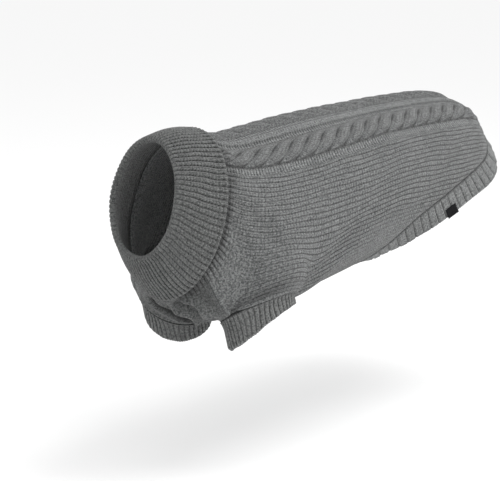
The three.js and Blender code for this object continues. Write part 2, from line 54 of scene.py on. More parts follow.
# Body rings: spine point, belly point, half width, how far the widest place sinks
BODY_RINGS = [
    {"spineX": -196.3, "spineZ": -0.3, "bellyX": -238.7, "bellyZ": -138.7, "half": 48.7, "low": 0.0},
    {"spineX": -185.0, "spineZ": -3.0, "bellyX": -230.0, "bellyZ": -143.0, "half": 50.4, "low": 0.0},
    {"spineX": -150.0, "spineZ": -8.5, "bellyX": -215.0, "bellyZ": -157.0, "half": 63.0, "low": 0.05},
    {"spineX": -115.0, "spineZ": -6.5, "bellyX": -180.0, "bellyZ": -168.0, "half": 72.0, "low": 0.1},
    {"spineX": -70.0, "spineZ": -3.5, "bellyX": -125.0, "bellyZ": -171.5, "half": 77.0, "low": 0.13},
    {"spineX": 0.0, "spineZ": 0.0, "bellyX": -30.0, "bellyZ": -170.0, "half": 78.0, "low": 0.07},
    {"spineX": 60.0, "spineZ": 1.8, "bellyX": 50.0, "bellyZ": -161.0, "half": 78.0, "low": 0.03},
    {"spineX": 150.0, "spineZ": 2.0, "bellyX": 150.0, "bellyZ": -160.0, "half": 77.0, "low": 0.0},
    {"spineX": 225.0, "spineZ": -1.5, "bellyX": 226.0, "bellyZ": -160.0, "half": 73.0, "low": 0.0},
    {"spineX": 300.0, "spineZ": -24.0, "bellyX": 300.0, "bellyZ": -158.0, "half": 60.0, "low": 0.0},
]
NECK_START = -196.3
TAIL_END = 300.0
NECK_AXIS = np.array([-0.956, 0.0, 0.292])
SEAM_REACH = 7.0

# Hem seam: share of the half girth from the spine, and the ring it lies on
HEM_LINE = [
    {"share": 0.0, "ring": 249.0},
    {"share": 0.1, "ring": 250.0},
    {"share": 0.2, "ring": 245.0},
    {"share": 0.3, "ring": 236.0},
    {"share": 0.38, "ring": 231.0},
    {"share": 0.44, "ring": 215.0},
    {"share": 0.54, "ring": 145.0},
    {"share": 0.63, "ring": 90.0},
    {"share": 0.75, "ring": 60.0},
    {"share": 0.88, "ring": 47.0},
    {"share": 1.0, "ring": 43.0},
]
PANEL_SEAM = 0.75
HALF_GIRTH = 250.0

# Armhole: centre, radii and slopes of its ring, and the rings where it begins and ends
ARMHOLE = {
    "x": -150.0, "y": 51.0, "z": -165.5,
    "radiusX": 42.0, "radiusY": 28.5, "riseBack": 0.02, "riseOut": 0.58,
    "ringFront": -144.0, "ringBack": -80.0, "easeFront": 34.0, "easeBack": 85.0,
    "sideStart": 0.28, "spread": 34.0,
}
# The right leg hole stands forward, and the cloth inside it hangs lower
STANCE_LEFT = {"x": 0.0, "z": 0.0, "tilt": 0.0, "rise": 0.0}
STANCE_RIGHT = {"x": -6.0, "z": -6.0, "tilt": 0.15, "rise": 7.0}
CUFF_EDGE = {
    "x": -144.0, "y": 52.0, "z": -188.0, "radiusX": 39.4, "radiusY": 28.0, "riseBack": 0.3, "riseOut": 0.58,
}

# Collar rings from the free edge to the fold rim, for the inner face of the turned-down layer
COLLAR_RINGS = [
    {"share": 0.0, "x": -208.0, "z": -73.0, "half": 56.0, "tall": 80.0, "tilt": 18.0},
    {"share": 0.18, "x": -217.5, "z": -69.5, "half": 52.4, "tall": 76.3, "tilt": 17.0},
    {"share": 0.6, "x": -236.0, "z": -61.0, "half": 46.8, "tall": 67.5, "tilt": 15.0},
    {"share": 1.0, "x": -252.0, "z": -53.0, "half": 40.0, "tall": 56.0, "tilt": 13.0},
]
COLLAR_SEAM = 0.18

# Bands of the back pattern, in millimetres from the spine at mid body
CENTRE_CABLE_HALF = 11.0
RIDGE_PLACE = 23.0
RIDGE_HALF = 2.6
SIDE_CABLE_NEAR = 34.0
SIDE_CABLE_FAR = 59.0
RIBS_START = 69.0
RIB_COUNT = 26
RIB_RISE = 1.25
RIDGE_RISE = 1.5

# Cables: their rise, the run of one strand, how strands lean and round off, and their wales
CABLE_RISE = 4.3
CABLE_PITCH = 24.0
CABLE_LEAN = 16.0
CABLE_SWEEP = 10.0
CABLE_WALES = 8.0
NOSE_START = 0.5
NOSE_ROUND = 0.95

# How the pattern fades at the neck and the hem, and how faint the middle line of a rib is
RELIEF_EASE = 16.0
RIB_FADE = 26.0
FRONT_START = 50.0
FRONT_EASE = 70.0
MIDDLE_LINE = 0.3

# One stitch of the fine knit, and how the ribbed pieces repeat round their rings
STITCH_WIDE = 2.3
STITCH_TALL = 3.8
COLLAR_RIBS = 80
COLLAR_RIB_RISE = 1.5
CUFF_RIBS = 44
CUFF_RIB_RISE = 1.1
HEM_RIBS = 60
HEM_RIB_RISE = 1.0
HEM_WIDTH = 23.0
HEM_DROOP = [
    {"share": 0.0, "fall": 0.7},
    {"share": 0.2, "fall": 0.75},
    {"share": 0.3, "fall": 0.5},
    {"share": 0.38, "fall": 0.1},
    {"share": 0.46, "fall": -0.4},
    {"share": 0.6, "fall": -0.3},
    {"share": 0.75, "fall": -0.1},
    {"share": 1.0, "fall": 0.0},
]
LABEL = {"share": 0.555, "width": 17.0, "start": 0.55, "end": 1.0, "lift": 0.35, "wall": 1.0}

# Level of the floor, well below the hem, and the viewpoint
GROUND = -0.327
VIEW_TARGET = (-0.100, 0.0, -0.116)
VIEW_AZIMUTH = -50.5
VIEW_ELEVATION = 11.6
VIEW_DISTANCE = 1.65
FOCAL_PIXELS = 1650.0
IMAGE_WIDTH = 500.0
SENSOR_WIDTH = 36.0


def ease(value):
    t = np.clip(value, 0.0, 1.0)
    return t * t * (3.0 - 2.0 * t)


def bump_of(distance, width):
    return np.exp(-((distance / width) ** 2))


def round_wave(turn, waves, start=0.0):
    """Waves that close on themselves round a ring."""
    return np.sin(2.0 * math.pi * waves * turn + start)


def unit(vectors):
    return vectors / np.linalg.norm(vectors, axis=-1, keepdims=True)


def curve(rows, key, column, at):
    """Smooth curve through one column of a table."""
    keys = np.array([row[key] for row in rows])
    values = np.array([row[column] for row in rows])
    count = len(rows)
    before = np.maximum(np.arange(count) - 1, 0)
    after = np.minimum(np.arange(count) + 1, count - 1)
    slopes = (values[after] - values[before]) / (keys[after] - keys[before])
    at = np.asarray(at, float)
    i = np.clip(np.searchsorted(keys, at, side="left") - 1, 0, count - 2)
    span = keys[i + 1] - keys[i]
    t = np.clip((at - keys[i]) / span, 0.0, 1.0)
    h = t * t * (3.0 - 2.0 * t)
    start = t * (1.0 - t) * (1.0 - t) * span * slopes[i]
    end = -t * t * (1.0 - t) * span * slopes[i + 1]
    return values[i] * (1.0 - h) + values[i + 1] * h + start + end


SECTION_STEPS = 72
SHARE_STEPS = 240
RINGS = np.arange(NECK_START, TAIL_END + 1.0, 1.0)


def half_sections():
    """Half sections from the spine to the belly on every stored ring, evenly spaced along their arcs."""
    angle = np.linspace(0.0, math.pi, SECTION_STEPS + 1)
    down = (1.0 - np.cos(angle)) / 2.0
    spine_z = curve(BODY_RINGS, "spineX", "spineZ", RINGS)
    belly_x = curve(BODY_RINGS, "spineX", "bellyX", RINGS)
    belly_z = curve(BODY_RINGS, "spineX", "bellyZ", RINGS)
    half = curve(BODY_RINGS, "spineX", "half", RINGS)
    low = curve(BODY_RINGS, "spineX", "low", RINGS)
    shares = np.linspace(0.0, 1.0, SHARE_STEPS + 1)
    made = np.zeros((len(RINGS), SHARE_STEPS + 1, 3))
    for k, ring in enumerate(RINGS):
        x = ring + (belly_x[k] - ring) * down
        y = half[k] * np.sin(angle) * (1.0 - low[k] * np.cos(angle))
        z = spine_z[k] + (belly_z[k] - spine_z[k]) * down
        steps = np.sqrt(np.diff(x) ** 2 + np.diff(y) ** 2 + np.diff(z) ** 2)
        arc = np.concatenate([[0.0], np.cumsum(steps)])
        arc /= arc[-1]
        made[k, :, 0] = np.interp(shares, arc, x)
        made[k, :, 1] = np.interp(shares, arc, y)
        made[k, :, 2] = np.interp(shares, arc, z)
    return made


SECTIONS = half_sections()


def base_point(ring, share):
    ring, share = np.broadcast_arrays(np.asarray(ring, float), np.asarray(share, float))
    row = np.clip(ring - NECK_START, 0.0, len(RINGS) - 1.001)
    column = np.clip(np.abs(share) * SHARE_STEPS, 0.0, SHARE_STEPS - 0.001)
    i = row.astype(int)
    j = column.astype(int)
    t = (row - i)[..., None]
    u = (column - j)[..., None]
    near = SECTIONS[i, j] * (1.0 - u) + SECTIONS[i, j + 1] * u
    far = SECTIONS[i + 1, j] * (1.0 - u) + SECTIONS[i + 1, j + 1] * u
    point = near * (1.0 - t) + far * t
    point[..., 1] *= np.where(share < 0.0, -1.0, 1.0)
    return point


def stance(side):
    return STANCE_RIGHT if side == SIDE_RIGHT else STANCE_LEFT


def armhole_point(turn, way, side):
    """Point of the armhole ring: turn 0 in front and 1 behind, by the outer or the inner way."""
    angle = math.pi * turn
    dx = -ARMHOLE["radiusX"] * np.cos(angle)
    dy = ARMHOLE["radiusY"] * np.sin(angle) * way
    step = stance(side)
    z = ARMHOLE["z"] + step["z"] + dx * ARMHOLE["riseBack"] + dy * (ARMHOLE["riseOut"] + step["tilt"])
    return np.stack([ARMHOLE["x"] + step["x"] + dx, side * (ARMHOLE["y"] + dy), z], axis=-1)


def seam_shifts():
    """How far the armhole draws the panel seam from its plain place, for each way round and side."""
    front = ARMHOLE["ringFront"]
    back = ARMHOLE["ringBack"]
    turn = np.clip((RINGS - front) / (back - front), 0.0, 1.0)
    anchor = np.clip(RINGS, front, back)
    before = ease(1.0 - (front - RINGS) / ARMHOLE["easeFront"])
    after = ease(1.0 - (RINGS - back) / ARMHOLE["easeBack"])
    made = {}
    for way in (-1, 1):
        for side in (SIDE_LEFT, SIDE_RIGHT):
            plain = base_point(anchor, np.full(len(RINGS), PANEL_SEAM * side))
            made[way, side] = (armhole_point(turn, way, side) - plain) * (before * after)[:, None]
    return made


SEAM_SHIFTS = seam_shifts()


def seam_shift(ring, way, side):
    table = SEAM_SHIFTS[way, side]
    return np.stack([np.interp(ring, RINGS, table[:, axis]) for axis in range(3)], axis=-1)


def body_point(ring, share, part):
    """Inner face of the body; the part decides which way a point goes round the armhole."""
    ring, share = np.broadcast_arrays(np.asarray(ring, float), np.asarray(share, float))
    base = base_point(ring, share)
    way = 1 if part == "back" else -1
    if part == "back":
        start = ARMHOLE["sideStart"]
        reach = ease((np.abs(share) - start) / (PANEL_SEAM - start)) ** 1.6
        pull = np.stack([reach, reach, reach], axis=-1)
    else:
        seam = base_point(ring, PANEL_SEAM * np.where(share < 0.0, -1.0, 1.0))
        middle = base_point(ring, np.ones_like(share))
        across = base[..., 1] / seam[..., 1]
        up = (base[..., 2] - middle[..., 2]) / (seam[..., 2] - middle[..., 2])
        pull = np.stack([up, across, up], axis=-1)
    spread = ARMHOLE["spread"] * (1.0 - pull[..., 1])
    shift = np.zeros_like(base)
    is_left = (share < 0.0)[..., None]
    for step in (-1.0, -0.5, 0.0, 0.5, 1.0):
        at = ring + step * spread
        shift += np.where(is_left, seam_shift(at, way, SIDE_LEFT), seam_shift(at, way, SIDE_RIGHT)) / 5.0
    return base + shift * pull


def full_point(ring, share, part):
    """Share past 1 goes on round the belly to the other side."""
    share = np.asarray(share, float)
    if part == "belly":
        share = np.where(share > 1.0, share - 2.0, share)
    return body_point(ring, share, part)


def body_normal(ring, share, part):
    step = 0.004
    reach = 1.2
    ring, share = np.broadcast_arrays(np.asarray(ring, float), np.asarray(share, float))
    low_limit = -PANEL_SEAM if part == "back" else PANEL_SEAM
    high_limit = PANEL_SEAM if part == "back" else 2.0 - PANEL_SEAM
    high = np.minimum(high_limit, share + step)
    low = np.maximum(low_limit, share - step)
    across = full_point(ring, high, part) - full_point(ring, low, part)
    before = np.maximum(NECK_START, ring - reach)
    along = full_point(ring + reach, share, part) - full_point(before, share, part)
    return unit(np.cross(along, across))


def seam_normal(ring, share, part):
    """Both panels lean the same way where they meet at the seam."""
    own = body_normal(ring, share, part)
    ring, share = np.broadcast_arrays(np.asarray(ring, float), np.asarray(share, float))
    far = np.where(share > 1.0, 2.0 - share, np.abs(share))
    side = np.where((share > 1.0) | (share < 0.0), -1.0, 1.0)
    blend = 1.0 - ease(np.abs(far - PANEL_SEAM) * HALF_GIRTH / SEAM_REACH)
    apart = (ring > ARMHOLE["ringFront"]) & (ring < ARMHOLE["ringBack"])
    blend = np.where(apart, 0.0, blend)[..., None]
    back = body_normal(ring, side * PANEL_SEAM, "back")
    belly = body_normal(ring, np.where(side < 0.0, 2.0 - PANEL_SEAM, PANEL_SEAM), "belly")
    leaned = unit(own * (1.0 - blend) + unit(back + belly) * blend)
    first = (ring - NECK_START < SEAM_GAP)[..., None]
    flat = unit(own - NECK_AXIS * (own @ NECK_AXIS)[..., None])
    return np.where(first, flat, leaned)


def hem_ring(share):
    return curve(HEM_LINE, "share", "ring", np.minimum(1.0, np.abs(share)))


# Creases of the worn cloth, each a soft trough between two places: ring and millimetres from the spine
# round the right side, where 250 is the middle of the belly and the left side goes on past it
CREASES = [
    {"ringA": -156.0, "placeA": 268.0, "ringB": -138.0, "placeB": 284.0, "width": 5.4, "depth": 11.0},
    {"ringA": -138.0, "placeA": 284.0, "ringB": -128.0, "placeB": 302.0, "width": 5.4, "depth": 9.0},
    {"ringA": -146.0, "placeA": 210.0, "ringB": -118.0, "placeB": 197.0, "width": 4.2, "depth": 4.5},
    {"ringA": -162.0, "placeA": 204.0, "ringB": -168.0, "placeB": 250.0, "width": 6.0, "depth": -2.8},
    {"ringA": -152.0, "placeA": 164.0, "ringB": -122.0, "placeB": 170.0, "width": 12.0, "depth": -4.2},
    {"ringA": -146.0, "placeA": 262.0, "ringB": -112.0, "placeB": 284.0, "width": 18.0, "depth": -6.0},
    {"ringA": -60.0, "placeA": 214.0, "ringB": -10.0, "placeB": 232.0, "width": 9.0, "depth": 2.0},
    {"ringA": -58.0, "placeA": 288.0, "ringB": -6.0, "placeB": 266.0, "width": 9.0, "depth": 1.8},
    {"ringA": -70.0, "placeA": 176.0, "ringB": -24.0, "placeB": 150.0, "width": 10.0, "depth": 1.6},
    {"ringA": -66.0, "placeA": 322.0, "ringB": -18.0, "placeB": 352.0, "width": 11.0, "depth": 1.4},
    {"ringA": 150.0, "placeA": 120.0, "ringB": 205.0, "placeB": 96.0, "width": 12.0, "depth": 1.1},
    {"ringA": 130.0, "placeA": 384.0, "ringB": 196.0, "placeB": 402.0, "width": 13.0, "depth": 1.2},
    {"ringA": -166.0, "placeA": 400.0, "ringB": -126.0, "placeB": 372.0, "width": 9.0, "depth": 1.4},
]
RIDGE_SHARE = 0.45


def crease_rise(ring, share):
    """Height of the creases at a place: a trough along each line with a lower ridge on both its sides."""
    place = np.where(share < 0.0, share + 2.0, share) * HALF_GIRTH
    total = np.zeros(np.broadcast(ring, share).shape)
    for row in CREASES:
        run = np.array([row["ringB"] - row["ringA"], row["placeB"] - row["placeA"]])
        length = float(np.hypot(run[0], run[1]))
        run = run / length
        from_a = ring - row["ringA"]
        round_a = place - row["placeA"]
        along = from_a * run[0] + round_a * run[1]
        past = np.maximum(0.0, np.maximum(-along, along - length))
        bow = 0.12 * length * np.sin(math.pi * np.clip(along / length, 0.0, 1.0))
        aside = from_a * -run[1] + round_a * run[0] - bow
        fade = bump_of(past, row["width"] * 1.6)
        trough = bump_of(aside, row["width"])
        ridge = bump_of(np.abs(aside) - row["width"] * 1.9, row["width"] * 0.9)
        total += row["depth"] * fade * (RIDGE_SHARE * ridge - trough)
    return total


def soft_waves(ring, share):
    """Slight unevenness of worn cloth over a hand's breadth."""
    place = share * HALF_GIRTH
    long_wave = np.sin(ring / 31.0 + place / 47.0) * np.sin(place / 38.0 - 0.6)
    short_wave = np.sin(ring / 17.0 - place / 23.0 + 1.3) * np.sin(ring / 41.0 + 0.4)
    return 0.5 * long_wave + 0.25 * short_wave


# What a knitted face has at each point: how far it is raised and its stitch coordinates, how much of it
# shows the purl side, how much painted shade its colour carries, and how strong the lines between its
# wales are, the main one at each second wale and the fainter one in the middle
KINDS = ("purl", "painted_shade", "line", "middle")


class Face:
    def __init__(self, shape):
        self.rise = np.zeros(shape)
        self.stitch = np.zeros(shape + (2,))
        self.purl = np.zeros(shape)
        # How much painted shade darkens the yarn colour at each point
        self.painted_shade = np.zeros(shape)
        self.line = np.zeros(shape)
        self.middle = np.full(shape, MIDDLE_LINE)


def cable_face(face, inside, q, along, half):
    """Rope cable: each strand comes out round at the outer edge and dives under at the inner one."""
    phase = (along + CABLE_LEAN * q + CABLE_SWEEP * q ** 3) / CABLE_PITCH
    aside = ((phase + 0.5) % 1.0) - 0.5
    from_core = np.hypot(aside, NOSE_ROUND * np.maximum(0.0, q - NOSE_START))
    within = np.clip(from_core, 0.0, 0.5)
    border = 0.5 - within
    swell = np.cos(math.pi * within) ** 0.75
    dive = 0.25 + 0.75 * ease((q + 1.0) / 0.6)
    base = np.sqrt(np.maximum(0.0, 1.0 - q ** 6))
    rise = CABLE_RISE * (0.2 * base + 0.95 * swell * dive * (1.0 - ease((np.abs(q) - 0.9) / 0.1)))
    past = np.maximum(0.0, from_core - 0.5)
    # Painted shade: in the pits where strands dive, along the joins, under each nose and between the strand
    # wales
    pit = 1.1 * bump_of(border, 0.12) * bump_of(q + 0.34, 0.3)
    join = 0.55 * bump_of(border, 0.05)
    under_nose = 0.95 * bump_of(past - 0.04, 0.07) * (past > 0.0) * ease((q - 0.45) / 0.2)
    strands = 0.3 * (0.5 + 0.5 * np.cos(math.pi * CABLE_WALES * from_core)) * ease(border / 0.1)
    dark = np.clip(pit + join + under_nose + strands, 0.0, 1.0) * (1.0 - 0.6 * ease((past - 0.12) / 0.1))
    face.rise = np.where(inside, rise, face.rise)
    face.painted_shade = np.where(inside, dark, face.painted_shade)
    face.purl = np.where(inside, 0.0, face.purl)
    face.line = np.where(inside, 0.5 * ease(border / 0.08) * (past == 0.0), face.line)
    run = q * half * 1.9 / STITCH_TALL
    stitch = np.stack([1.0 + from_core * CABLE_WALES, run], axis=-1)
    face.stitch = np.where(inside[..., None], stitch, face.stitch)


def back_face(ring, share):
    """Pattern of the back: three cables and two ridges on a purl ground, then ribs down both flanks."""
    place = share * HALF_GIRTH
    far = np.abs(place)
    along = ring - NECK_START
    face = Face(place.shape)
    face.stitch[..., 0] = place / STITCH_WIDE
    face.stitch[..., 1] = along / STITCH_TALL
    face.purl = 1.0 - ease((far - SIDE_CABLE_FAR - 9.0) / 2.0)
    for edge in (-RIDGE_HALF, RIDGE_HALF):
        wale = bump_of(far - RIDGE_PLACE - edge, 1.7)
        face.rise += RIDGE_RISE * wale
        face.purl = np.clip(face.purl - wale * 1.4, 0.0, 1.0)
    # Painted shade in the purl beside the ridges, along the side cable edges and round the centre cable
    for edge in (-RIDGE_HALF - 2.6, RIDGE_HALF + 2.6):
        face.painted_shade += 0.75 * bump_of(far - RIDGE_PLACE - edge, 1.1)
    for edge in (SIDE_CABLE_NEAR - 0.6, SIDE_CABLE_FAR + 0.8):
        face.painted_shade += 0.2 * bump_of(far - edge, 1.5)
    face.painted_shade += 0.5 * bump_of(far - CENTRE_CABLE_HALF - 0.8, 1.4)
    middle = (SIDE_CABLE_NEAR + SIDE_CABLE_FAR) / 2.0
    half = (SIDE_CABLE_FAR - SIDE_CABLE_NEAR) / 2.0
    cable_face(face, far <= CENTRE_CABLE_HALF, place / CENTRE_CABLE_HALF, along, CENTRE_CABLE_HALF)
    cable_face(face, np.abs(far - middle) <= half, (far - middle) / half, along, half)
    pitch = (PANEL_SEAM * HALF_GIRTH - RIBS_START) / RIB_COUNT
    count = (far - RIBS_START) / pitch
    wander = 0.16 * np.sin(along / 23.0 + count * 0.31) + 0.07 * np.sin(along / 9.0 + count * 0.83)
    phase = count + wander * ease(along / 40.0) - 0.25
    in_ribs = ease((far - RIBS_START + 3.0) / 3.0)
    groove = bump_of(np.abs((phase % 1.0) - 0.5), 0.13)
    quiet = 1.0 - 0.62 * ease((np.abs(share) - 0.5) / 0.16) * ease((ring + 30.0) / 70.0)
    face.rise += in_ribs * RIB_RISE * (1.0 - groove) * quiet
    near_neck = 1.0 - ease((along - FRONT_START) / FRONT_EASE)
    # Painted shade in the rib grooves
    face.painted_shade += in_ribs * 0.4 * groove * quiet * (1.0 - 0.6 * near_neck)
    face.line = np.maximum(face.line, in_ribs * quiet)
    # Purl ladder: the gaps between the bars dip in the relief and are darkened with painted shade
    ladder = 0.5 + 0.5 * np.cos(2.0 * math.pi * along / STITCH_TALL)
    bare = (far > CENTRE_CABLE_HALF) & (np.abs(far - middle) > half) & (far < RIBS_START)
    face.painted_shade += np.where(bare, 0.34 * ladder * face.purl, 0.0)
    face.rise -= np.where(bare, 0.5 * ladder * face.purl, 0.0)
    front = near_neck * ease((np.abs(share) - 0.3) / 0.15)
    face.middle = MIDDLE_LINE + 0.5 * front * in_ribs
    face.line *= 1.0 - 0.25 * front
    ribbed = (far > RIBS_START)[..., None]
    by_rib = np.stack([phase * 2.0, along / STITCH_TALL], axis=-1)
    face.stitch = np.where(ribbed, by_rib, face.stitch)
    low = ease((np.abs(share) - 0.38) / 0.27)
    start = ease((along - 6.0 - RIB_FADE * low) / (RELIEF_EASE + RIB_FADE * low))
    end = ease((hem_ring(share) - ring) / RELIEF_EASE)
    fade = start * (0.25 + 0.75 * end)
    face.rise *= fade
    face.painted_shade *= 0.15 + 0.85 * start
    face.line *= start * (0.3 + 0.7 * end)
    return face


# Short ribs that run on from the neck seam below the turned-down collar
NECK_RIBS = 80
NECK_RIB_EDGE = 20.0
NECK_RIB_LENGTH = 14.0


def neck_ribs(face, ring, share):
    along = ring - NECK_START
    turn = share * NECK_RIBS / 2.0
    uneven = 1.0 + 0.35 * np.sin(share * 17.0) + 0.2 * np.sin(share * 41.0)
    reach = NECK_RIB_LENGTH * uneven
    fade = ease((along - NECK_RIB_EDGE + 6.0) / 5.0) * (1.0 - ease((along - NECK_RIB_EDGE) / reach))
    groove = bump_of(np.abs((turn % 1.0) - 0.5), 0.17)
    face.rise += 1.5 * fade * (1.0 - groove)
    # Painted shade in the rib grooves, and a painted shadow along the collar's free edge
    shadow = 0.7 * bump_of(along - NECK_RIB_EDGE + 1.0, 3.5) * ease((np.abs(share) - 0.2) / 0.2)
    face.painted_shade = np.clip(face.painted_shade + 1.2 * fade * groove + shadow, 0.0, 1.0)


# Mesh of one closed piece: points, faces, and the values that its knit is drawn from
class Piece:
    def __init__(self):
        self.points = []
        self.stitches = []
        self.values = {kind: [] for kind in KINDS}
        self.faces = []
        self.loops = []
        self.count = 0

    def put(self, points, face):
        """Adds a grid of points and returns their numbers in the same layout."""
        shape = points.shape[:-1]
        amount = int(np.prod(shape))
        self.points.append(points.reshape(-1, 3))
        self.stitches.append(face.stitch.reshape(-1, 2))
        for kind in KINDS:
            self.values[kind].append(getattr(face, kind).reshape(-1))
        ids = np.arange(self.count, self.count + amount).reshape(shape)
        self.count += amount
        return ids

    def absorb(self, points, faces):
        """Adds small closed shapes that already face outwards, such as the loops of an edge."""
        face = Face((len(points),))
        face.stitch[:] = (0.25, 0.5)
        first = int(self.put(points, face)[0])
        self.loops.extend([[first + corner for corner in corners] for corners in faces])

    def quads(self, ids):
        corners = (ids[:-1, :-1], ids[:-1, 1:], ids[1:, 1:], ids[1:, :-1])
        self.faces.extend(np.stack(corners, axis=-1).reshape(-1, 4).tolist())

    def zip(self, ids_a, at_a, ids_b, at_b):
        """Triangles between two runs of points that share one running value."""
        i = 0
        j = 0
        while i < len(ids_a) - 1 or j < len(ids_b) - 1:
            next_a = at_a[i + 1] if i < len(ids_a) - 1 else math.inf
            next_b = at_b[j + 1] if j < len(ids_b) - 1 else math.inf
            if next_a <= next_b:
                self.faces.append([int(ids_a[i]), int(ids_a[i + 1]), int(ids_b[j])])
                i += 1
            else:
                self.faces.append([int(ids_a[i]), int(ids_b[j + 1]), int(ids_b[j])])
                j += 1

    def finish(self, name, material, round_stitches=0.0):
        """The Blender mesh, in metres, with its stitch map and its purl and painted shade values."""
        points = np.concatenate(self.points) * MM
        volume = 0.0
        for corner in self.faces:
            a, b, c = points[corner[0]], points[corner[1]], points[corner[2]]
            volume += float(np.dot(a, np.cross(b, c)))
            if len(corner) == 4:
                d = points[corner[3]]
                volume += float(np.dot(a, np.cross(c, d)))
        faces = self.faces if volume > 0.0 else [corner[::-1] for corner in self.faces]
        faces = faces + self.loops
        mesh = bpy.data.meshes.new(name)
        mesh.from_pydata(points.tolist(), [], faces)
        stitches = np.concatenate(self.stitches)
        loop_points = np.zeros(len(mesh.loops), dtype=np.int32)
        mesh.loops.foreach_get("vertex_index", loop_points)
        at = stitches[loop_points]
        if round_stitches > 0.0:
            starts = np.zeros(len(mesh.polygons), dtype=np.int32)
            totals = np.zeros(len(mesh.polygons), dtype=np.int32)
            mesh.polygons.foreach_get("loop_start", starts)
            mesh.polygons.foreach_get("loop_total", totals)
            owner = np.repeat(np.arange(len(starts)), totals)
            highest = np.full(len(starts), -np.inf)
            np.maximum.at(highest, owner, at[:, 0])
            wrapped = highest[owner] - at[:, 0] > round_stitches / 2.0
            at[:, 0] += np.where(wrapped, round_stitches, 0.0)
        layer = mesh.uv_layers.new(name="stitches")
        layer.data.foreach_set("uv", at.ravel())
        for kind in KINDS:
            attribute = mesh.attributes.new(kind, "FLOAT", "POINT")
            attribute.data.foreach_set("value", np.clip(np.concatenate(self.values[kind]), 0.0, 1.0))
        mesh.polygons.foreach_set("use_smooth", np.ones(len(mesh.polygons), dtype=bool))
        mesh.materials.append(material)
        mesh.update()
        piece = bpy.data.objects.new(name, mesh)
        bpy.context.scene.collection.objects.link(piece)
        return piece


def plain_face(shape, across, along):
    """Inside of the knit: the purl side, with no relief and an even painted shade."""
    face = Face(shape)
    face.stitch[..., 0] = across / STITCH_WIDE
    face.stitch[..., 1] = along / STITCH_TALL
    face.purl[:] = 1.0
    face.painted_shade[:] = 0.12
    return face


def rows_of(shares, steps):
    """Rings from the neck to the hem for each column of points."""
    end = hem_ring(np.where(shares > 1.0, 2.0 - shares, shares))
    run = np.linspace(0.0, 1.0, steps)
    return NECK_START + (end[:, None] - NECK_START) * run[None, :]


def worn_lift(ring, share):
    """How far creases and waves move the cloth, calmed towards its seams, its hem and the neck."""
    far = np.where(share > 1.0, 2.0 - share, np.abs(share))
    near_seam = 1.0 - ease(np.abs(far - PANEL_SEAM) * HALF_GIRTH / 7.0)
    near_end = 1.0 - ease((hem_ring(far) - ring) / 12.0)
    near_neck = 1.0 - ease((ring - NECK_START - 8.0) / 12.0)
    calm = (1.0 - near_seam) * (1.0 - near_end) * (1.0 - near_neck)
    return (crease_rise(ring, share) + soft_waves(ring, share)) * calm


def wall(piece, strips, inner_shares, inner_rows, part, face_of):
    """Closed wall of a panel: strips of patterned outer face, plain inner face and the four edges."""
    sheets = []
    for shares, rows in strips:
        share = np.repeat(shares[:, None], rows, axis=1)
        ring = rows_of(shares, rows)
        face = face_of(ring, share)
        moved = worn_lift(ring, share)
        # Painted shade in the troughs of the creases
        face.painted_shade = np.clip(face.painted_shade + 0.95 * ease((-0.6 - moved) / 3.6), 0.0, 1.0)
        lift = KNIT_WALL + face.rise + moved
        points = full_point(ring, share, part) + seam_normal(ring, share, part) * lift[..., None]
        sheets.append((piece.put(points, face), np.linspace(0.0, 1.0, rows)))
    share = np.repeat(inner_shares[:, None], inner_rows, axis=1)
    ring = rows_of(inner_shares, inner_rows)
    moved = worn_lift(ring, share)[..., None]
    inside = full_point(ring, share, part) + seam_normal(ring, share, part) * moved
    into = piece.put(inside, plain_face(share.shape, share * HALF_GIRTH, ring - NECK_START))
    piece.quads(into[::-1])
    for sheet in sheets:
        piece.quads(sheet[0])
    for k in range(len(sheets) - 1):
        piece.zip(sheets[k][0][-1], sheets[k][1], sheets[k + 1][0][0], sheets[k + 1][1])
    run_in = np.linspace(0.0, 1.0, inner_rows)
    first_ids, first_at = sheets[0]
    last_ids, last_at = sheets[-1]
    piece.zip(into[0], run_in, first_ids[0], first_at)
    piece.zip(last_ids[-1], last_at, into[-1], run_in)
    outer_shares = np.concatenate([strip[0] for strip in strips])
    neck_end = np.concatenate([sheet[0][:, 0] for sheet in sheets])
    hem_end = np.concatenate([sheet[0][:, -1] for sheet in sheets])
    piece.zip(neck_end, outer_shares, into[:, 0], inner_shares)
    piece.zip(into[:, -1], inner_shares, hem_end, outer_shares)


CABLE_ROWS = 390
RIB_ROWS = 150
RIB_COLUMNS = 5


def back_strips():
    """Columns across the back: fine rows on the cables, fewer on the flanks, as many on each rib."""
    middle = list(np.linspace(-CENTRE_CABLE_HALF, CENTRE_CABLE_HALF, 19))
    one_side = list(np.linspace(CENTRE_CABLE_HALF + 1.2, SIDE_CABLE_NEAR - 1.2, 13))
    one_side += list(np.linspace(SIDE_CABLE_NEAR, SIDE_CABLE_FAR, 23))
    one_side += list(np.linspace(SIDE_CABLE_FAR + 1.2, RIBS_START - 1.2, 5))
    middle = np.array(sorted(middle + one_side + [-place for place in one_side]))
    pitch = (PANEL_SEAM * HALF_GIRTH - RIBS_START) / RIB_COUNT
    flank = RIBS_START + pitch / RIB_COLUMNS * np.arange(RIB_COUNT * RIB_COLUMNS + 1)
    return [
        (-flank[::-1] / HALF_GIRTH, RIB_ROWS),
        (middle / HALF_GIRTH, CABLE_ROWS),
        (flank / HALF_GIRTH, RIB_ROWS),
    ]


def back_panel(material):
    piece = Piece()

    def face_of(ring, share):
        face = back_face(ring, share)
        neck_ribs(face, ring, share)
        return face

    inner = np.linspace(-PANEL_SEAM, PANEL_SEAM, 61)
    wall(piece, back_strips(), inner, 70, "back", face_of)
    return piece.finish("back_panel_knit", material)


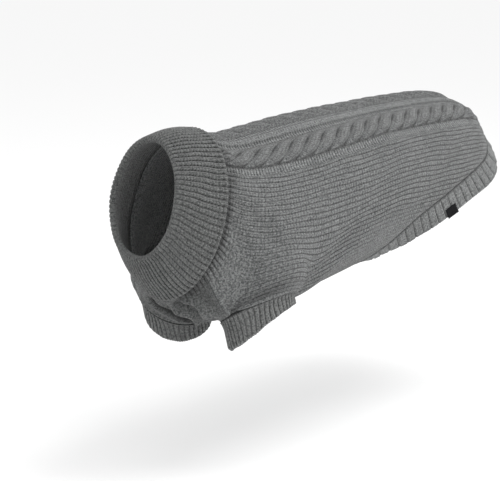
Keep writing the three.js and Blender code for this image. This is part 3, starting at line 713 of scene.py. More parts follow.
def belly_panel(material):
    piece = Piece()

    def face_of(ring, share):
        face = Face(ring.shape)
        face.stitch[..., 0] = share * HALF_GIRTH / STITCH_WIDE
        face.stitch[..., 1] = (ring - NECK_START) / STITCH_TALL
        neck_ribs(face, ring, share)
        return face

    start = PANEL_SEAM + 2.0 * SEAM_GAP / HALF_GIRTH
    outer = np.linspace(start, 2.0 - start, 161)
    inner = np.linspace(start, 2.0 - start, 49)
    wall(piece, [(outer, 190)], inner, 70, "belly", face_of)
    return piece.finish("belly_panel_knit", material)


def tube(piece, loops):
    """Closed solid round a ring: each loop is a run of points all the way round the opening."""
    made = []
    for points, face in loops:
        ids = piece.put(points, face)
        at = np.linspace(0.0, 1.0, len(ids) + 1)
        made.append((np.append(ids, ids[0]), at))
    for k, (ids, at) in enumerate(made):
        next_ids, next_at = made[(k + 1) % len(made)]
        if len(ids) == len(next_ids):
            piece.quads(np.stack([next_ids, ids]))
        else:
            piece.zip(next_ids, next_at, ids, at)


def ring_face(turn, wales, rows, purl, painted_shade, line=0.0):
    """Knit round a ring: the lines between its ribs lie on the odd wales."""
    face = Face(turn.shape)
    face.stitch[..., 0] = turn * wales + 1.0
    face.stitch[..., 1] = rows
    face.purl[:] = purl
    face.painted_shade[:] = painted_shade
    face.line[:] = line
    return face


def collar_point(share, grow, push, turn):
    tilt = np.radians(curve(COLLAR_RINGS, "share", "tilt", share))
    axis = np.stack([-np.cos(tilt), 0.0 * tilt, np.sin(tilt)], axis=-1)
    up = np.stack([np.sin(tilt), 0.0 * tilt, np.cos(tilt)], axis=-1)
    angle = 2.0 * math.pi * turn
    centre_x = curve(COLLAR_RINGS, "share", "x", share)
    centre_z = curve(COLLAR_RINGS, "share", "z", share)
    point = np.stack([centre_x, 0.0 * centre_x, centre_z], axis=-1)
    point = point + axis * np.asarray(push, float)[..., None]
    tall = (curve(COLLAR_RINGS, "share", "tall", share) + grow) * np.cos(angle)
    wide = (curve(COLLAR_RINGS, "share", "half", share) + grow) * np.sin(angle)
    point = point + up * tall[..., None]
    return point + np.array([0.0, 1.0, 0.0]) * wide[..., None]


COLLAR_STOPS = COLLAR_RIBS * 9
COLLAR_ROWS = 34
COLLAR_LENGTH = 52.0


def collar_ripple(turn, share):
    """Uneven set of the collar: slow waves round it and a slight bulge over the fold."""
    angle = 2.0 * math.pi * turn
    slow = 0.9 * np.sin(3.0 * angle + 0.7 + 2.0 * share) + 0.5 * np.sin(7.0 * angle + 3.0 * share)
    return slow * ease(share / 0.25) * (1.0 - 0.5 * share)


def collar(material):
    piece = Piece()
    fine_turn = np.linspace(0.0, 1.0, COLLAR_STOPS, endpoint=False)
    plain_turn = np.linspace(0.0, 1.0, 72, endpoint=False)
    loops = []

    def outer(share, grow, push, rib):
        share_run = np.full_like(fine_turn, share)
        sway = 0.05 * np.sin(7.0 * share + 2.0 * math.pi * 5.0 * fine_turn)
        sway = sway + 0.03 * np.sin(15.0 * share + 2.0 * math.pi * 13.0 * fine_turn)
        phase = fine_turn * COLLAR_RIBS + 0.5 + sway * ease(share / 0.15)
        groove = bump_of(np.abs((phase % 1.0) - 0.5), 0.17)
        pad = grow + rib * COLLAR_RIB_RISE * (1.0 - groove) + collar_ripple(fine_turn, share_run)
        point = collar_point(share_run, pad, np.full_like(fine_turn, push), fine_turn)
        rows = share * COLLAR_LENGTH / STITCH_TALL - push * 0.3
        # Painted shade in the rib grooves, deeper in the slots just under the free edge
        slots = 0.9 * bump_of(share - 0.035, 0.03) * groove
        face = ring_face(phase - 0.5, 2.0, rows, 0.0, rib * groove * 0.5 + slots, rib)
        loops.append((point, face))

    def inner(share, grow, push, shade):
        share_run = np.full_like(plain_turn, share)
        pad = grow + collar_ripple(plain_turn, share_run)
        point = collar_point(share_run, pad, np.full_like(plain_turn, push), plain_turn)
        rows = share * COLLAR_LENGTH / STITCH_TALL
        loops.append((point, ring_face(plain_turn, COLLAR_RIBS * 2.0, rows, 1.0, shade)))

    outer(0.0, 0.5, -0.3, 0.35)
    outer(0.0, COLLAR_WALL - 0.8, -0.6, 0.9)
    for k in range(COLLAR_ROWS):
        share = 0.015 + 0.925 * k / (COLLAR_ROWS - 1)
        outer(share, COLLAR_WALL, 0.0, 1.0)
    for turn_over in np.linspace(0.0, 1.0, 7):
        angle = turn_over * math.pi / 2.0
        grow = COLLAR_WALL - 0.2 - 3.6 * (1.0 - math.cos(angle))
        push = 3.4 * math.sin(angle)
        outer(0.965 + 0.035 * math.sin(angle), grow, push, 1.0 - 0.45 * turn_over)
    for turn_over in np.linspace(0.0, 1.0, 4):
        angle = turn_over * math.pi / 2.0
        grow = -1.6 - 2.1 * math.sin(angle)
        push = 3.2 * math.cos(angle)
        outer(1.0, grow, push, 0.5 * (1.0 - turn_over) + 0.15)
    # The inner layers carry an even painted shade
    for share in (0.86, 0.6, 0.4, COLLAR_SEAM):
        inner(share, -FOLD_GAP - COLLAR_WALL, 0.0, 0.3)
    inner(COLLAR_SEAM, -FOLD_GAP, 0.0, 0.6)
    inner(0.6, -FOLD_GAP, 0.0, 0.6)
    inner(1.0, -FOLD_GAP, -1.0, 0.6)
    inner(1.0, 0.0, -1.0, 0.6)
    inner(0.6, 0.0, 0.0, 0.6)
    inner(COLLAR_SEAM, 0.0, 0.0, 0.6)
    inner(0.0, 0.0, 0.0, 0.5)
    tube(piece, loops)
    around = np.linspace(0.0, 1.0, 240, endpoint=False)
    none = np.zeros_like(around)
    pad = np.full_like(around, COLLAR_WALL * 0.62) + collar_ripple(around, none)
    edge_chain(piece, collar_point(none, pad, none - 0.9, around), COLLAR_RIBS * 2, 3.0, 1.9, material)
    return piece.finish("collar_knit", material, round_stitches=COLLAR_RIBS * 2.0)


def chain_tree():
    """Loops of yarn at even steps along a closed path, each turned along it and a little uneven."""
    tree = bpy.data.node_groups.new("Edge chain", "GeometryNodeTree")
    given_sockets = {
        "Path": "Geometry", "Loops": "Int", "Loop length": "Float", "Loop width": "Float",
        "Uneven": "Float", "Yarn": "Material",
    }
    for name, kind in given_sockets.items():
        tree.interface.new_socket(name=name, in_out="INPUT", socket_type="NodeSocket" + kind)
    tree.interface.new_socket(name="Chain", in_out="OUTPUT", socket_type="NodeSocketGeometry")
    wires = Wiring(tree)
    given = wires.node("NodeGroupInput")
    path = wires.node("GeometryNodeMeshToCurve")
    wires.feed(path.inputs["Mesh"], given.outputs["Path"])
    steps = wires.node("GeometryNodeResampleCurve")
    wires.feed(steps.inputs["Curve"], path.outputs["Curve"])
    wires.feed(steps.inputs["Count"], given.outputs["Loops"])
    loop = wires.node("GeometryNodeMeshUVSphere")
    loop.inputs["Segments"].default_value = 6
    loop.inputs["Rings"].default_value = 5
    loop.inputs["Radius"].default_value = 0.5
    size = wires.node("ShaderNodeCombineXYZ")
    wires.feed(size.inputs["X"], given.outputs["Loop length"])
    wires.feed(size.inputs["Y"], given.outputs["Loop width"])
    wires.feed(size.inputs["Z"], given.outputs["Loop width"])
    shaped = wires.node("GeometryNodeTransform")
    wires.feed(shaped.inputs["Geometry"], loop.outputs["Mesh"])
    wires.feed(shaped.inputs["Scale"], size.outputs["Vector"])
    tangent = wires.node("GeometryNodeInputTangent")
    turned = wires.node("FunctionNodeAlignRotationToVector", axis="X")
    wires.feed(turned.inputs["Vector"], tangent.outputs["Tangent"])
    growth = wires.node("FunctionNodeRandomValue", data_type="FLOAT")
    growth.inputs["Seed"].default_value = LOOP_SEED
    wires.feed(growth.inputs["Min"], wires.minus(1.0, given.outputs["Uneven"]))
    wires.feed(growth.inputs["Max"], wires.plus(1.0, given.outputs["Uneven"]))
    placed = wires.node("GeometryNodeInstanceOnPoints")
    wires.feed(placed.inputs["Points"], steps.outputs["Curve"])
    wires.feed(placed.inputs["Instance"], shaped.outputs["Geometry"])
    wires.feed(placed.inputs["Rotation"], turned.outputs["Rotation"])
    wires.feed(placed.inputs["Scale"], growth.outputs["Value"])
    real = wires.node("GeometryNodeRealizeInstances")
    wires.feed(real.inputs["Geometry"], placed.outputs["Instances"])
    dyed = wires.node("GeometryNodeSetMaterial")
    wires.feed(dyed.inputs["Geometry"], real.outputs["Geometry"])
    wires.feed(dyed.inputs["Material"], given.outputs["Yarn"])
    out = wires.node("NodeGroupOutput")
    wires.feed(out.inputs["Chain"], dyed.outputs["Geometry"])
    return tree


LOOP_SEED = 7
LOOP_UNEVEN = 0.12


def edge_chain(piece, path, loops, length, width, material):
    """Puts the chain of an edge round the closed path of points given in millimetres."""
    mesh = bpy.data.meshes.new("edge_path")
    count = len(path)
    mesh.from_pydata((path * MM).tolist(), [(k, (k + 1) % count) for k in range(count)], [])
    carrier = bpy.data.objects.new("edge_path", mesh)
    bpy.context.scene.collection.objects.link(carrier)
    modifier = carrier.modifiers.new("Edge chain", "NODES")
    modifier.node_group = EDGE_CHAIN
    values = {
        "Loops": loops, "Loop length": length * MM, "Loop width": width * MM, "Uneven": LOOP_UNEVEN,
        "Yarn": material,
    }
    for socket in EDGE_CHAIN.interface.items_tree:
        if socket.in_out == "INPUT" and socket.name in values:
            modifier[socket.identifier] = values[socket.name]
    seen = carrier.evaluated_get(bpy.context.evaluated_depsgraph_get())
    made = bpy.data.meshes.new_from_object(seen)
    points = np.zeros(len(made.vertices) * 3)
    made.vertices.foreach_get("co", points)
    faces = [list(polygon.vertices) for polygon in made.polygons]
    piece.absorb(points.reshape(-1, 3) / MM, faces)
    bpy.data.objects.remove(carrier)
    bpy.data.meshes.remove(made)


def share_of(turn):
    wrapped = turn - np.floor(turn)
    return np.where(wrapped <= 0.5, wrapped * 2.0, (wrapped - 1.0) * 2.0)


def hem_seam(turn):
    share = share_of(turn)
    ring = hem_ring(share)
    on_back = (np.abs(share) < PANEL_SEAM)[..., None]
    return np.where(on_back, body_point(ring, share, "back"), body_point(ring, share, "belly"))


def hem_frame(turn):
    """Seam line of the hem and the way the band hangs from it."""
    share = share_of(turn)
    ring = hem_ring(share)
    along = unit(hem_seam(turn + 0.004) - hem_seam(turn - 0.004))
    back = body_normal(ring, np.clip(share, -PANEL_SEAM, PANEL_SEAM), "back")
    belly = body_normal(ring, np.clip(np.abs(share), PANEL_SEAM, 1.0), "belly")
    belly[..., 1] *= np.where(share < 0.0, -1.0, 1.0)
    belly = np.where((np.abs(share) > 0.99)[..., None], np.array([0.0, 0.0, -1.0]), belly)
    normal = np.where((np.abs(share) < PANEL_SEAM)[..., None], back, belly)
    hang = unit(np.cross(along, normal))
    hang = np.where(hang[..., :1] < 0.0, -hang, hang)
    fall = curve(HEM_DROOP, "share", "fall", np.abs(share))
    hang = unit(hang - normal * fall[..., None])
    return hem_seam(turn), unit(normal), hang


def band_point(turn, down, lift):
    seam, normal, hang = hem_frame(turn)
    reach = np.broadcast_to(HEM_GAP + np.asarray(down, float) * HEM_WIDTH, turn.shape)
    return seam + hang * reach[..., None] + normal * np.asarray(lift, float)[..., None]


def wide_rib(phase):
    """Broad flat rib with a narrow groove beside it, and how strongly the groove is darkened with painted
    shade.
    """
    from_groove = 0.5 - np.abs((phase % 1.0) - 0.5)
    groove = 1.0 - ease((from_groove - 0.05) / 0.1)
    return 1.0 - groove, groove


def hem_turn(even):
    """Turn round the hem at an even run along its seam, so that every rib is as wide as the next."""
    turns = np.linspace(0.0, 1.0, 1441)
    steps = np.linalg.norm(np.diff(hem_seam(turns), axis=0), axis=-1)
    run = np.concatenate([[0.0], np.cumsum(steps)])
    return np.interp(even, run / run[-1], turns)


def band_tug(turn):
    """How unevenly the free edge of the band reaches down."""
    return 0.012 * round_wave(turn, 11.0) + 0.008 * round_wave(turn, 29.0)


def band_wave(turn):
    """How the free edge of the band waves in and out."""
    return 0.7 * round_wave(turn, 9.0) + 0.5 * round_wave(turn, 17.0, 1.0)


def hem_band(material):
    piece = Piece()
    fine_even = np.linspace(0.0, 1.0, HEM_RIBS * 12, endpoint=False)
    plain_even = np.linspace(0.0, 1.0, 156, endpoint=False)
    fine_turn = hem_turn(fine_even)
    plain_turn = hem_turn(plain_even)
    band_phase = fine_even * HEM_RIBS
    rib, dark = wide_rib(band_phase)
    loops = []

    def outer(down, lift, raised, shade):
        rise = lift + raised * HEM_RIB_RISE * rib + band_wave(fine_turn) * down ** 1.5
        edge = down * (1.0 + band_tug(fine_turn) * down)
        # Painted shade in the rib grooves, plus the given painted shade of each ring
        painted_shade = 0.35 * dark * raised + shade
        line = (0.2 + 0.75 * dark) * raised
        face = ring_face(band_phase, 4.0, down * HEM_WIDTH / STITCH_TALL, 0.0, painted_shade, line)
        loops.append((band_point(fine_turn, edge, rise), face))

    def inner(down, lift):
        rise = lift + band_wave(plain_turn) * down ** 1.5
        face = ring_face(plain_even, HEM_RIBS * 4.0, down * HEM_WIDTH / STITCH_TALL, 1.0, 0.25)
        loops.append((band_point(plain_turn, down, rise), face))

    # The last value of each ring is its painted shade, deepest by the seam
    outer(0.0, BAND_WALL - 1.0, 0.1, 0.85)
    outer(0.05, BAND_WALL - 0.5, 0.5, 0.4)
    for down in np.linspace(0.1, 0.92, 13):
        outer(down, BAND_WALL - 0.2, 1.0, 0.0)
    outer(0.965, BAND_WALL - 0.3, 0.9, 0.0)
    outer(0.99, BAND_WALL - 0.8, 0.75, 0.0)
    outer(1.0, BAND_WALL - 1.6, 0.4, 0.15)
    inner(0.985, 0.1)
    inner(0.5, 0.0)
    inner(0.0, 0.0)
    tube(piece, loops)
    around = np.linspace(0.0, 1.0, 360, endpoint=False)
    path = band_point(around, 1.01 + band_tug(around), BAND_WALL * 0.45 + band_wave(around))
    edge_chain(piece, path, HEM_RIBS * 4, 2.4, 1.5, material)
    return piece.finish("hem_band_knit", material, round_stitches=HEM_RIBS * 4.0)


def armhole_drop(angle, side):
    """How far the panel edge at the armhole reaches down, so that the cuff starts clear of it."""
    deepest = np.zeros_like(angle)
    for step in (-0.12, 0.0, 0.12):
        turn = (angle / math.pi + step + 2.0) % 2.0
        outside = turn <= 1.0
        share = np.where(outside, turn, 2.0 - turn)
        ring = ARMHOLE["ringFront"] + (ARMHOLE["ringBack"] - ARMHOLE["ringFront"]) * share
        back = body_normal(ring, np.full_like(ring, side * PANEL_SEAM), "back")[..., 2]
        belly_share = 2.0 - PANEL_SEAM if side < 0 else PANEL_SEAM
        belly = body_normal(ring, np.full_like(ring, belly_share), "belly")[..., 2]
        deepest = np.maximum(deepest, -np.where(outside, back, belly))
    return CUFF_GAP + (KNIT_WALL + SEAM_GAP) * deepest


def cuff_point(side, turn, down, lift, raise_by=0.0):
    def mix(column):
        return ARMHOLE[column] + (CUFF_EDGE[column] - ARMHOLE[column]) * down

    angle = 2.0 * math.pi * turn
    dx = -(mix("radiusX") - CUFF_INSET + lift) * np.cos(angle)
    dy = (mix("radiusY") - CUFF_INSET + lift) * np.sin(angle)
    step = stance(side)
    rise_back = -mix("radiusX") * np.cos(angle) * mix("riseBack")
    rise_out = mix("radiusY") * np.sin(angle) * (mix("riseOut") + step["tilt"])
    rise_front = step["rise"] * down * ease((1.4 + np.cos(angle)) / 2.0)
    drop = armhole_drop(angle, side) * np.maximum(0.0, 1.0 - down * 6.0)
    z = mix("z") + step["z"] + rise_back + rise_out + rise_front - drop + raise_by
    return np.stack([mix("x") + step["x"] + dx, side * (mix("y") + dy), z], axis=-1)


# Seam allowance of a cuff, standing up inside the leg hole, its swell below the seam and its length
CUFF_ALLOWANCE = 5.5
CUFF_SWELL = 2.2
CUFF_LENGTH = 22.0


def cuff_hang(side, turn):
    """How far down the cuff reaches round its edge: it is drawn up a little along its outer side."""
    outside = np.maximum(0.0, round_wave(turn + 0.02, 1.0))
    wave = 0.012 * round_wave(turn, 5.0, side) + 0.01 * round_wave(turn, 11.0)
    return 1.0 - 0.13 * outside ** 2 + wave


def cuff_wave(side, turn):
    """How the free edge of a cuff waves in and out."""
    return 0.9 * round_wave(turn, 3.0, side)


def cuff(name, side, material):
    piece = Piece()
    fine_turn = np.linspace(0.0, 1.0, CUFF_RIBS * 11, endpoint=False)
    plain_turn = np.linspace(0.0, 1.0, 72, endpoint=False)
    loops = []

    def outer(down, lift, raised, shade):
        sway = 0.1 * round_wave(fine_turn, 4.0, 5.0 * down)
        phase = fine_turn * CUFF_RIBS + 0.5 + sway
        groove = bump_of(np.abs((phase % 1.0) - 0.5), 0.19)
        swell = CUFF_SWELL * (1.0 - ease(down / 0.4))
        rise = lift + raised * CUFF_RIB_RISE * (1.0 - groove) + down * cuff_wave(side, fine_turn) + swell
        rows = down * CUFF_LENGTH / STITCH_TALL
        # Painted shadow of the overhanging cloth on the top of the cuff, deeper on the right cuff
        overhang_shade = 0.45 if side == SIDE_RIGHT else 0.15
        shade = shade + overhang_shade * (1.0 - ease(down / 0.45))
        face = ring_face(phase - 0.5, 2.0, rows, 0.0, 0.5 * groove * raised + shade, raised)
        at = down * cuff_hang(side, fine_turn)
        loops.append((cuff_point(side, fine_turn, at, rise, 0.9 * (1.0 - down)), face))

    def inner(down, lift):
        rise = lift + down * cuff_wave(side, plain_turn)
        face = ring_face(plain_turn, CUFF_RIBS * 2.0, down * CUFF_LENGTH / STITCH_TALL, 1.0, 0.3)
        loops.append((cuff_point(side, plain_turn, down * cuff_hang(side, plain_turn), rise), face))

    # The last value of each ring is its painted shade, deepest by the seam
    outer(0.0, CUFF_WALL - 0.6, 0.3, 0.35)
    outer(0.05, CUFF_WALL - 0.1, 0.8, 0.1)
    for down in np.linspace(0.1, 0.92, 13):
        outer(down, CUFF_WALL, 1.0, 0.0)
    outer(0.965, CUFF_WALL - 0.2, 0.95, 0.0)
    outer(0.99, CUFF_WALL - 0.7, 0.8, 0.0)
    outer(1.0, CUFF_WALL - 1.5, 0.4, 0.2)
    inner(0.985, 0.1)
    inner(0.5, 0.0)
    inner(0.0, 0.0)
    # The seam allowance inside the leg hole carries an even painted shade
    for lift, raise_by in ((0.0, CUFF_ALLOWANCE), (1.2, CUFF_ALLOWANCE), (1.2, 0.2)):
        face = ring_face(plain_turn, CUFF_RIBS * 2.0, -raise_by / STITCH_TALL, 1.0, 0.6)
        loops.append((cuff_point(side, plain_turn, 0.0, np.full_like(plain_turn, lift), raise_by), face))
    tube(piece, loops)
    around = np.linspace(0.0, 1.0, 180, endpoint=False)
    rise = CUFF_WALL * 0.4 + cuff_wave(side, around)
    path = cuff_point(side, around, cuff_hang(side, around), rise)
    edge_chain(piece, path, CUFF_RIBS * 2, 2.6, 1.5, material)
    return piece.finish(name, material, round_stitches=CUFF_RIBS * 2.0)


def label(material):
    """Plain flag of black tape, held flat on the hem band."""
    piece = Piece()
    lift = BAND_WALL + HEM_RIB_RISE + LABEL["lift"]
    middle = 1.0 - LABEL["share"] / 2.0
    probe = 0.01
    ends = band_point(np.array([middle + probe, middle - probe]), 1.0, np.array([lift, lift]))
    width = LABEL["width"] * 2.0 * probe / float(np.linalg.norm(ends[0] - ends[1]))
    across = np.linspace(-0.5, 0.5, 17)
    down = np.linspace(LABEL["start"], LABEL["end"], 13)
    turn = np.repeat((middle + width * across)[:, None], len(down), axis=1)
    drop = np.repeat(down[None, :], len(across), axis=0)
    u = np.repeat(across[:, None] * 2.0, len(down), axis=1)
    v = np.repeat(np.linspace(-1.0, 1.0, len(down))[None, :], len(across), axis=0)
    edge = (1.0 - u ** 8) * (1.0 - v ** 8)
    curl = 0.5 * v ** 2 * (v > 0.0) + 0.25 * u ** 2
    sheets = []
    for side in (1.0, -1.0):
        puff = lift + LABEL["wall"] / 2.0 + side * (0.12 + 0.38 * edge) * LABEL["wall"] + curl
        points = band_point(turn.ravel(), drop.ravel(), puff.ravel()).reshape(turn.shape + (3,))
        face = Face(turn.shape)
        face.stitch[..., 0] = u * LABEL["width"]
        face.stitch[..., 1] = v * 8.0
        sheets.append(piece.put(points, face))
    over, under = sheets
    piece.quads(over)
    piece.quads(under[::-1])
    piece.quads(np.stack([under[0], over[0]]))
    piece.quads(np.stack([over[-1], under[-1]]))
    piece.quads(np.stack([over[:, 0], under[:, 0]]))
    piece.quads(np.stack([under[:, -1], over[:, -1]]))
    return piece.finish("label_tape", material)


# Materials

def shader_group(name, inputs, outputs):
    group = bpy.data.node_groups.new(name, "ShaderNodeTree")
    for label_text, kind, value in inputs:
        socket = group.interface.new_socket(name=label_text, in_out="INPUT", socket_type=kind)
        if value is not None:
            socket.default_value = value
    for label_text, kind in outputs:
        group.interface.new_socket(name=label_text, in_out="OUTPUT", socket_type=kind)
    return group


class Wiring:
    """Short calls for adding and joining the nodes of one tree."""

    def __init__(self, tree):
        self.tree = tree

    def node(self, kind, **settings):
        made = self.tree.nodes.new(kind)
        for key, value in settings.items():
            setattr(made, key, value)
        return made

    def feed(self, socket, source):
        if isinstance(source, (int, float, tuple)):
            socket.default_value = source
        else:
            self.tree.links.new(source, socket)

    def math(self, operation, *sources):
        made = self.node("ShaderNodeMath", operation=operation)
        for socket, source in zip(made.inputs, sources):
            self.feed(socket, source)
        return made.outputs[0]

    def plus(self, first, second):
        return self.math("ADD", first, second)

    def minus(self, first, second):
        return self.math("SUBTRACT", first, second)

    def times(self, first, second):
        return self.math("MULTIPLY", first, second)

    def mix_colour(self, factor, first, second, blend="MIX"):
        made = self.node("ShaderNodeMix", data_type="RGBA", blend_type=blend)
        self.feed(made.inputs["Factor"], factor)
        self.feed(made.inputs["A"], first)
        self.feed(made.inputs["B"], second)
        return made.outputs["Result"]


def knit_group():
    """Height of plain knit: rows of V stitches, or the short bars of the purl side."""
    group = shader_group(
        "Knit stitches",
        [
            ("Stitches", "NodeSocketVector", None), ("Purl", "NodeSocketFloat", 0.0),
            ("Lean", "NodeSocketFloat", 0.55), ("Line width", "NodeSocketFloat", 0.2),
            ("Middle line", "NodeSocketFloat", 0.35),
        ],
        [("Height", "NodeSocketFloat"), ("Shade", "NodeSocketFloat"), ("Line", "NodeSocketFloat")],
    )
    wires = Wiring(group)
    given = wires.node("NodeGroupInput")
    parts = wires.node("ShaderNodeSeparateXYZ")
    wires.feed(parts.inputs[0], given.outputs["Stitches"])
    across = wires.math("FRACT", parts.outputs["X"])
    from_middle = wires.math("ABSOLUTE", wires.minus(across, 0.5))
    leaned = wires.minus(parts.outputs["Y"], wires.times(from_middle, given.outputs["Lean"]))
    along = wires.minus(wires.times(wires.math("FRACT", leaned), 2.0), 1.0)
    leg_along = wires.minus(1.0, wires.times(along, along))
    leg_place = wires.minus(wires.times(from_middle, 4.0), 1.0)
    leg_across = wires.minus(1.0, wires.times(leg_place, leg_place))
    leg = wires.math("SQRT", wires.math("MAXIMUM", wires.times(leg_along, leg_across), 0.0))
    bar_run = wires.times(wires.math("FRACT", parts.outputs["Y"]), 2.0)
    bar_from = wires.minus(bar_run, 1.0)
    bar_along = wires.minus(1.0, wires.times(bar_from, bar_from))
    side_run = wires.times(from_middle, 1.1)
    bar_across = wires.minus(1.0, wires.times(side_run, side_run))
    bar = wires.math("MAXIMUM", wires.times(bar_along, bar_across), 0.0)
    choose = wires.node("ShaderNodeMix", data_type="FLOAT")
    wires.feed(choose.inputs["Factor"], given.outputs["Purl"])
    wires.feed(choose.inputs["A"], leg)
    wires.feed(choose.inputs["B"], bar)
    # Shade: painted shade between the stitch legs and between the purl bars
    shade = wires.minus(1.0, wires.math("POWER", choose.outputs["Result"], 0.6))
    pair = wires.math("FRACT", wires.times(parts.outputs["X"], 0.5))
    from_line = wires.math("ABSOLUTE", wires.minus(pair, 0.5))
    line = wires.node("ShaderNodeMapRange", interpolation_type="SMOOTHSTEP")
    wires.feed(line.inputs["Value"], from_line)
    wires.feed(line.inputs["From Max"], given.outputs["Line width"])
    line.inputs["To Min"].default_value = 1.0
    line.inputs["To Max"].default_value = 0.0
    between = wires.node("ShaderNodeMapRange", interpolation_type="SMOOTHSTEP")
    wires.feed(between.inputs["Value"], wires.minus(0.5, from_line))
    wires.feed(between.inputs["From Max"], wires.times(given.outputs["Line width"], 0.8))
    wires.feed(between.inputs["To Min"], given.outputs["Middle line"])
    between.inputs["To Max"].default_value = 0.0
    both = wires.plus(line.outputs["Result"], between.outputs["Result"])
    dots = wires.plus(wires.times(wires.times(bar_from, bar_from), 0.45), 0.68)
    out = wires.node("NodeGroupOutput")
    wires.feed(out.inputs["Line"], wires.times(both, dots))
    wires.feed(out.inputs["Height"], choose.outputs["Result"])
    wires.feed(out.inputs["Shade"], shade)
    return group


def wool_group():
    """Melange of light and dark fibres with a slow drift of tone, and the fuzz that stands on the yarn."""
    group = shader_group(
        "Wool melange",
        [
            ("Place", "NodeSocketVector", None), ("Fleck", "NodeSocketFloat", 600.0),
            ("Drift", "NodeSocketFloat", 22.0),
        ],
        [("Mix", "NodeSocketFloat"), ("Fuzz", "NodeSocketFloat")],
    )
    wires = Wiring(group)
    given = wires.node("NodeGroupInput")

    def noise(scale, detail):
        made = wires.node("ShaderNodeTexNoise", noise_dimensions="3D")
        wires.feed(made.inputs["Vector"], given.outputs["Place"])
        wires.feed(made.inputs["Scale"], scale)
        wires.feed(made.inputs["Detail"], detail)
        return made.outputs[0]

    fleck = noise(given.outputs["Fleck"], 2.0)
    fibre = noise(wires.times(given.outputs["Fleck"], 2.7), 1.0)
    drift = noise(given.outputs["Drift"], 2.0)
    spread = wires.times(wires.minus(fleck, 0.5), 3.6)
    fine = wires.times(wires.minus(fibre, 0.5), 0.9)
    slow = wires.times(wires.minus(drift, 0.5), 0.35)
    total = wires.plus(wires.plus(spread, fine), wires.plus(slow, 0.5))
    out = wires.node("NodeGroupOutput")
    wires.feed(out.inputs["Mix"], total)
    wires.feed(out.inputs["Fuzz"], fibre)
    return group


KNIT_STITCHES = knit_group()
WOOL_MELANGE = wool_group()
EDGE_CHAIN = chain_tree()


# Yarns: dark and light fibres, how strong the painted shade goes in hollows and between stitches, how dark
# rib lines go, and a stitch's depth in metres
YARNS = {
    "back_knit": {
        "dark": (0.062, 0.066, 0.067, 1.0), "light": (0.264, 0.272, 0.269, 1.0),
        "painted_shade": 0.9, "depth": 0.0010, "stitch": 0.42, "line": 0.85,
    },
    # Darker than the back knit partly by its own tone and partly as painted shade of the chest underside
    "belly_knit": {
        "dark": (0.040, 0.043, 0.043, 1.0), "light": (0.164, 0.169, 0.166, 1.0),
        "painted_shade": 0.95, "depth": 0.0010, "stitch": 0.42, "line": 0.8,
    },
    # Darker than the back knit partly by its own tone and partly as painted shadow from the wearer's head
    "collar_rib": {
        "dark": (0.042, 0.045, 0.044, 1.0), "light": (0.178, 0.184, 0.180, 1.0),
        "painted_shade": 0.9, "depth": 0.0010, "stitch": 0.36, "line": 0.86,
    },
    "band_rib": {
        "dark": (0.070, 0.074, 0.074, 1.0), "light": (0.236, 0.243, 0.240, 1.0),
        "painted_shade": 0.85, "depth": 0.0008, "stitch": 0.34, "line": 0.7,
    },
    "cuff_rib": {
        "dark": (0.056, 0.059, 0.058, 1.0), "light": (0.215, 0.221, 0.217, 1.0),
        "painted_shade": 0.85, "depth": 0.0008, "stitch": 0.34, "line": 0.62,
    },
}
TAPE_DARK = (0.004, 0.004, 0.005, 1.0)
TAPE_LIGHT = (0.012, 0.012, 0.013, 1.0)


def new_material(name, roughness, specular):
    """New material and its shader."""
    material = bpy.data.materials.new(name)
    material.use_nodes = True
    shader = material.node_tree.nodes["Principled BSDF"]
    shader.inputs["Roughness"].default_value = roughness
    shader.inputs["Specular IOR Level"].default_value = specular
    return material, shader


def add_bump(wires, shader, height, strength, distance):
    bump = wires.node("ShaderNodeBump")
    bump.inputs["Strength"].default_value = strength
    bump.inputs["Distance"].default_value = distance
    wires.feed(bump.inputs["Height"], height)
    wires.feed(shader.inputs["Normal"], bump.outputs["Normal"])


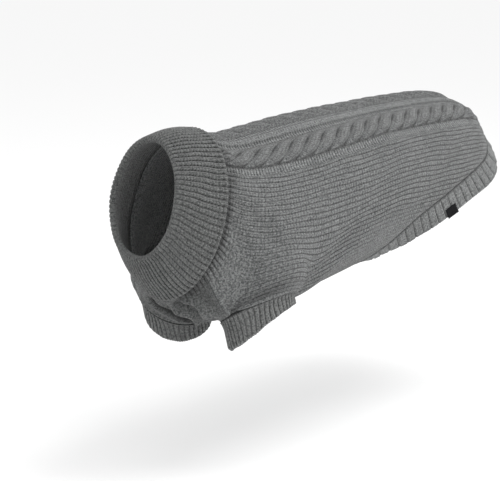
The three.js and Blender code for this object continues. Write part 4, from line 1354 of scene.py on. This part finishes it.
def knit_material(name):
    """Wool yarn knitted into stitches, drawn from the values that its piece carries."""
    yarn = YARNS[name]
    material, shader = new_material(name, 0.92, 0.15)
    shader.inputs["Sheen Weight"].default_value = 0.25
    shader.inputs["Sheen Roughness"].default_value = 0.6
    wires = Wiring(material.node_tree)
    place = wires.node("ShaderNodeTexCoord")
    stitches = wires.node("ShaderNodeUVMap", uv_map="stitches")
    purl, painted_shade, line, middle = [
        wires.node("ShaderNodeAttribute", attribute_name=kind).outputs["Fac"] for kind in KINDS
    ]
    knit = wires.node("ShaderNodeGroup", node_tree=KNIT_STITCHES)
    wires.feed(knit.inputs["Stitches"], stitches.outputs["UV"])
    wires.feed(knit.inputs["Purl"], purl)
    wires.feed(knit.inputs["Middle line"], middle)
    wool = wires.node("ShaderNodeGroup", node_tree=WOOL_MELANGE)
    wires.feed(wool.inputs["Place"], place.outputs["Object"])
    fibres = wires.mix_colour(wool.outputs["Mix"], yarn["dark"], yarn["light"])
    # Painted shade between the stitches, stronger on the purl side
    purl_shade = wires.times(purl, yarn["stitch"] * 0.55)
    between = wires.times(knit.outputs["Shade"], wires.plus(purl_shade, yarn["stitch"]))
    between = wires.minus(between, wires.times(purl, 0.09))
    # The dark lines between wales are partly the real gaps between them and partly painted shade in them
    drawn = wires.times(knit.outputs["Line"], line)
    # Painted shade from the piece's values and from between the stitches, taken out of the yarn colour
    lit = wires.times(wires.minus(1.0, between), wires.minus(1.0, wires.times(painted_shade, yarn["painted_shade"])))
    lit = wires.times(lit, wires.minus(1.0, wires.times(drawn, yarn["line"])))
    tone = wires.node("ShaderNodeCombineColor")
    for channel in tone.inputs:
        wires.feed(channel, lit)
    colour = wires.mix_colour(1.0, fibres, tone.outputs["Color"], blend="MULTIPLY")
    wires.feed(shader.inputs["Base Color"], colour)
    relief = wires.plus(knit.outputs["Height"], wires.times(wool.outputs["Fuzz"], 0.5))
    relief = wires.minus(relief, wires.times(drawn, 0.9))
    add_bump(wires, shader, relief, 0.9, yarn["depth"])
    return material


def tape_material():
    """Black woven tape: a fine plain weave with a faint shine."""
    material, shader = new_material("black_label_tape", 0.7, 0.08)
    wires = Wiring(material.node_tree)
    stitches = wires.node("ShaderNodeUVMap", uv_map="stitches")
    parts = wires.node("ShaderNodeSeparateXYZ")
    wires.feed(parts.inputs[0], stitches.outputs["UV"])
    warp, weft = [
        wires.math("ABSOLUTE", wires.math("SINE", wires.times(parts.outputs[axis], 6.0))) for axis in "XY"
    ]
    weave = wires.times(warp, weft)
    wires.feed(shader.inputs["Base Color"], wires.mix_colour(weave, TAPE_DARK, TAPE_LIGHT))
    add_bump(wires, shader, weave, 0.5, 0.0002)
    return material


def dress():
    """Every knitted piece, with its material."""
    yarns = {name: knit_material(name) for name in YARNS}
    return {
        "back_panel": (back_panel(yarns["back_knit"]), "back_knit"),
        "belly_panel": (belly_panel(yarns["belly_knit"]), "belly_knit"),
        "collar": (collar(yarns["collar_rib"]), "collar_rib"),
        "hem_band": (hem_band(yarns["band_rib"]), "band_rib"),
        "cuff_left": (cuff("cuff_left_knit", SIDE_LEFT, yarns["cuff_rib"]), "cuff_rib"),
        "cuff_right": (cuff("cuff_right_knit", SIDE_RIGHT, yarns["cuff_rib"]), "cuff_rib"),
        "label": (label(tape_material()), "label_tape"),
    }


def declare(pieces):
    for node, (piece, slot) in pieces.items():
        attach(piece, "root")
        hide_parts(node)


# Stage, light and camera

def floor():
    """Pale plain floor, wide enough to fill the view."""
    mesh = bpy.data.meshes.new("studio_floor")
    reach = 30.0
    signs = ((-1.0, -1.0), (1.0, -1.0), (1.0, 1.0), (-1.0, 1.0))
    corners = [(reach * x, reach * y, GROUND) for x, y in signs]
    mesh.from_pydata(corners, [], [(0, 1, 2, 3)])
    ground = bpy.data.objects.new("studio_floor", mesh)
    bpy.context.scene.collection.objects.link(ground)
    material, shader = new_material("pale_floor", 0.9, 0.0)
    shader.inputs["Base Color"].default_value = (0.93, 0.93, 0.93, 1.0)
    mesh.materials.append(material)


def lamp(name, place, target, size, power):
    data = bpy.data.lights.new(name, "AREA")
    data.shape = "RECTANGLE"
    data.size = size
    data.size_y = size
    data.energy = power
    light = bpy.data.objects.new(name, data)
    light.location = place
    aim = Vector(target) - Vector(place)
    light.rotation_euler = aim.to_track_quat("-Z", "Y").to_euler()
    bpy.context.scene.collection.objects.link(light)


def studio_light():
    world = bpy.data.worlds.new("studio_world")
    world.use_nodes = True
    background = world.node_tree.nodes["Background"]
    background.inputs["Color"].default_value = (1.0, 1.0, 1.0, 1.0)
    background.inputs["Strength"].default_value = 1.0
    bpy.context.scene.world = world
    lamp("overhead_softbox", (0.3, -0.6, 1.5), (0.0, 0.0, -0.1), 0.9, 12.0)
    lamp("side_softbox", (-0.2, -1.7, 0.7), (-0.05, 0.0, -0.1), 0.8, 8.0)


def camera():
    data = bpy.data.cameras.new("photo_camera")
    data.sensor_fit = "HORIZONTAL"
    data.sensor_width = SENSOR_WIDTH
    data.lens = FOCAL_PIXELS / IMAGE_WIDTH * SENSOR_WIDTH
    data.clip_start = 0.05
    data.clip_end = 100.0
    azimuth = math.radians(VIEW_AZIMUTH)
    elevation = math.radians(VIEW_ELEVATION)
    back = Vector((
        math.sin(azimuth) * math.cos(elevation),
        -math.cos(azimuth) * math.cos(elevation),
        math.sin(elevation),
    ))
    eye = bpy.data.objects.new("photo_camera", data)
    eye.location = Vector(VIEW_TARGET) + back * VIEW_DISTANCE
    eye.rotation_mode = "QUATERNION"
    eye.rotation_quaternion = (-back).to_track_quat("-Z", "Y")
    bpy.context.scene.collection.objects.link(eye)
    bpy.context.scene.camera = eye


camera()
studio_light()
floor()
bpy.context.scene.view_settings.view_transform = "Standard"
declare(dress())
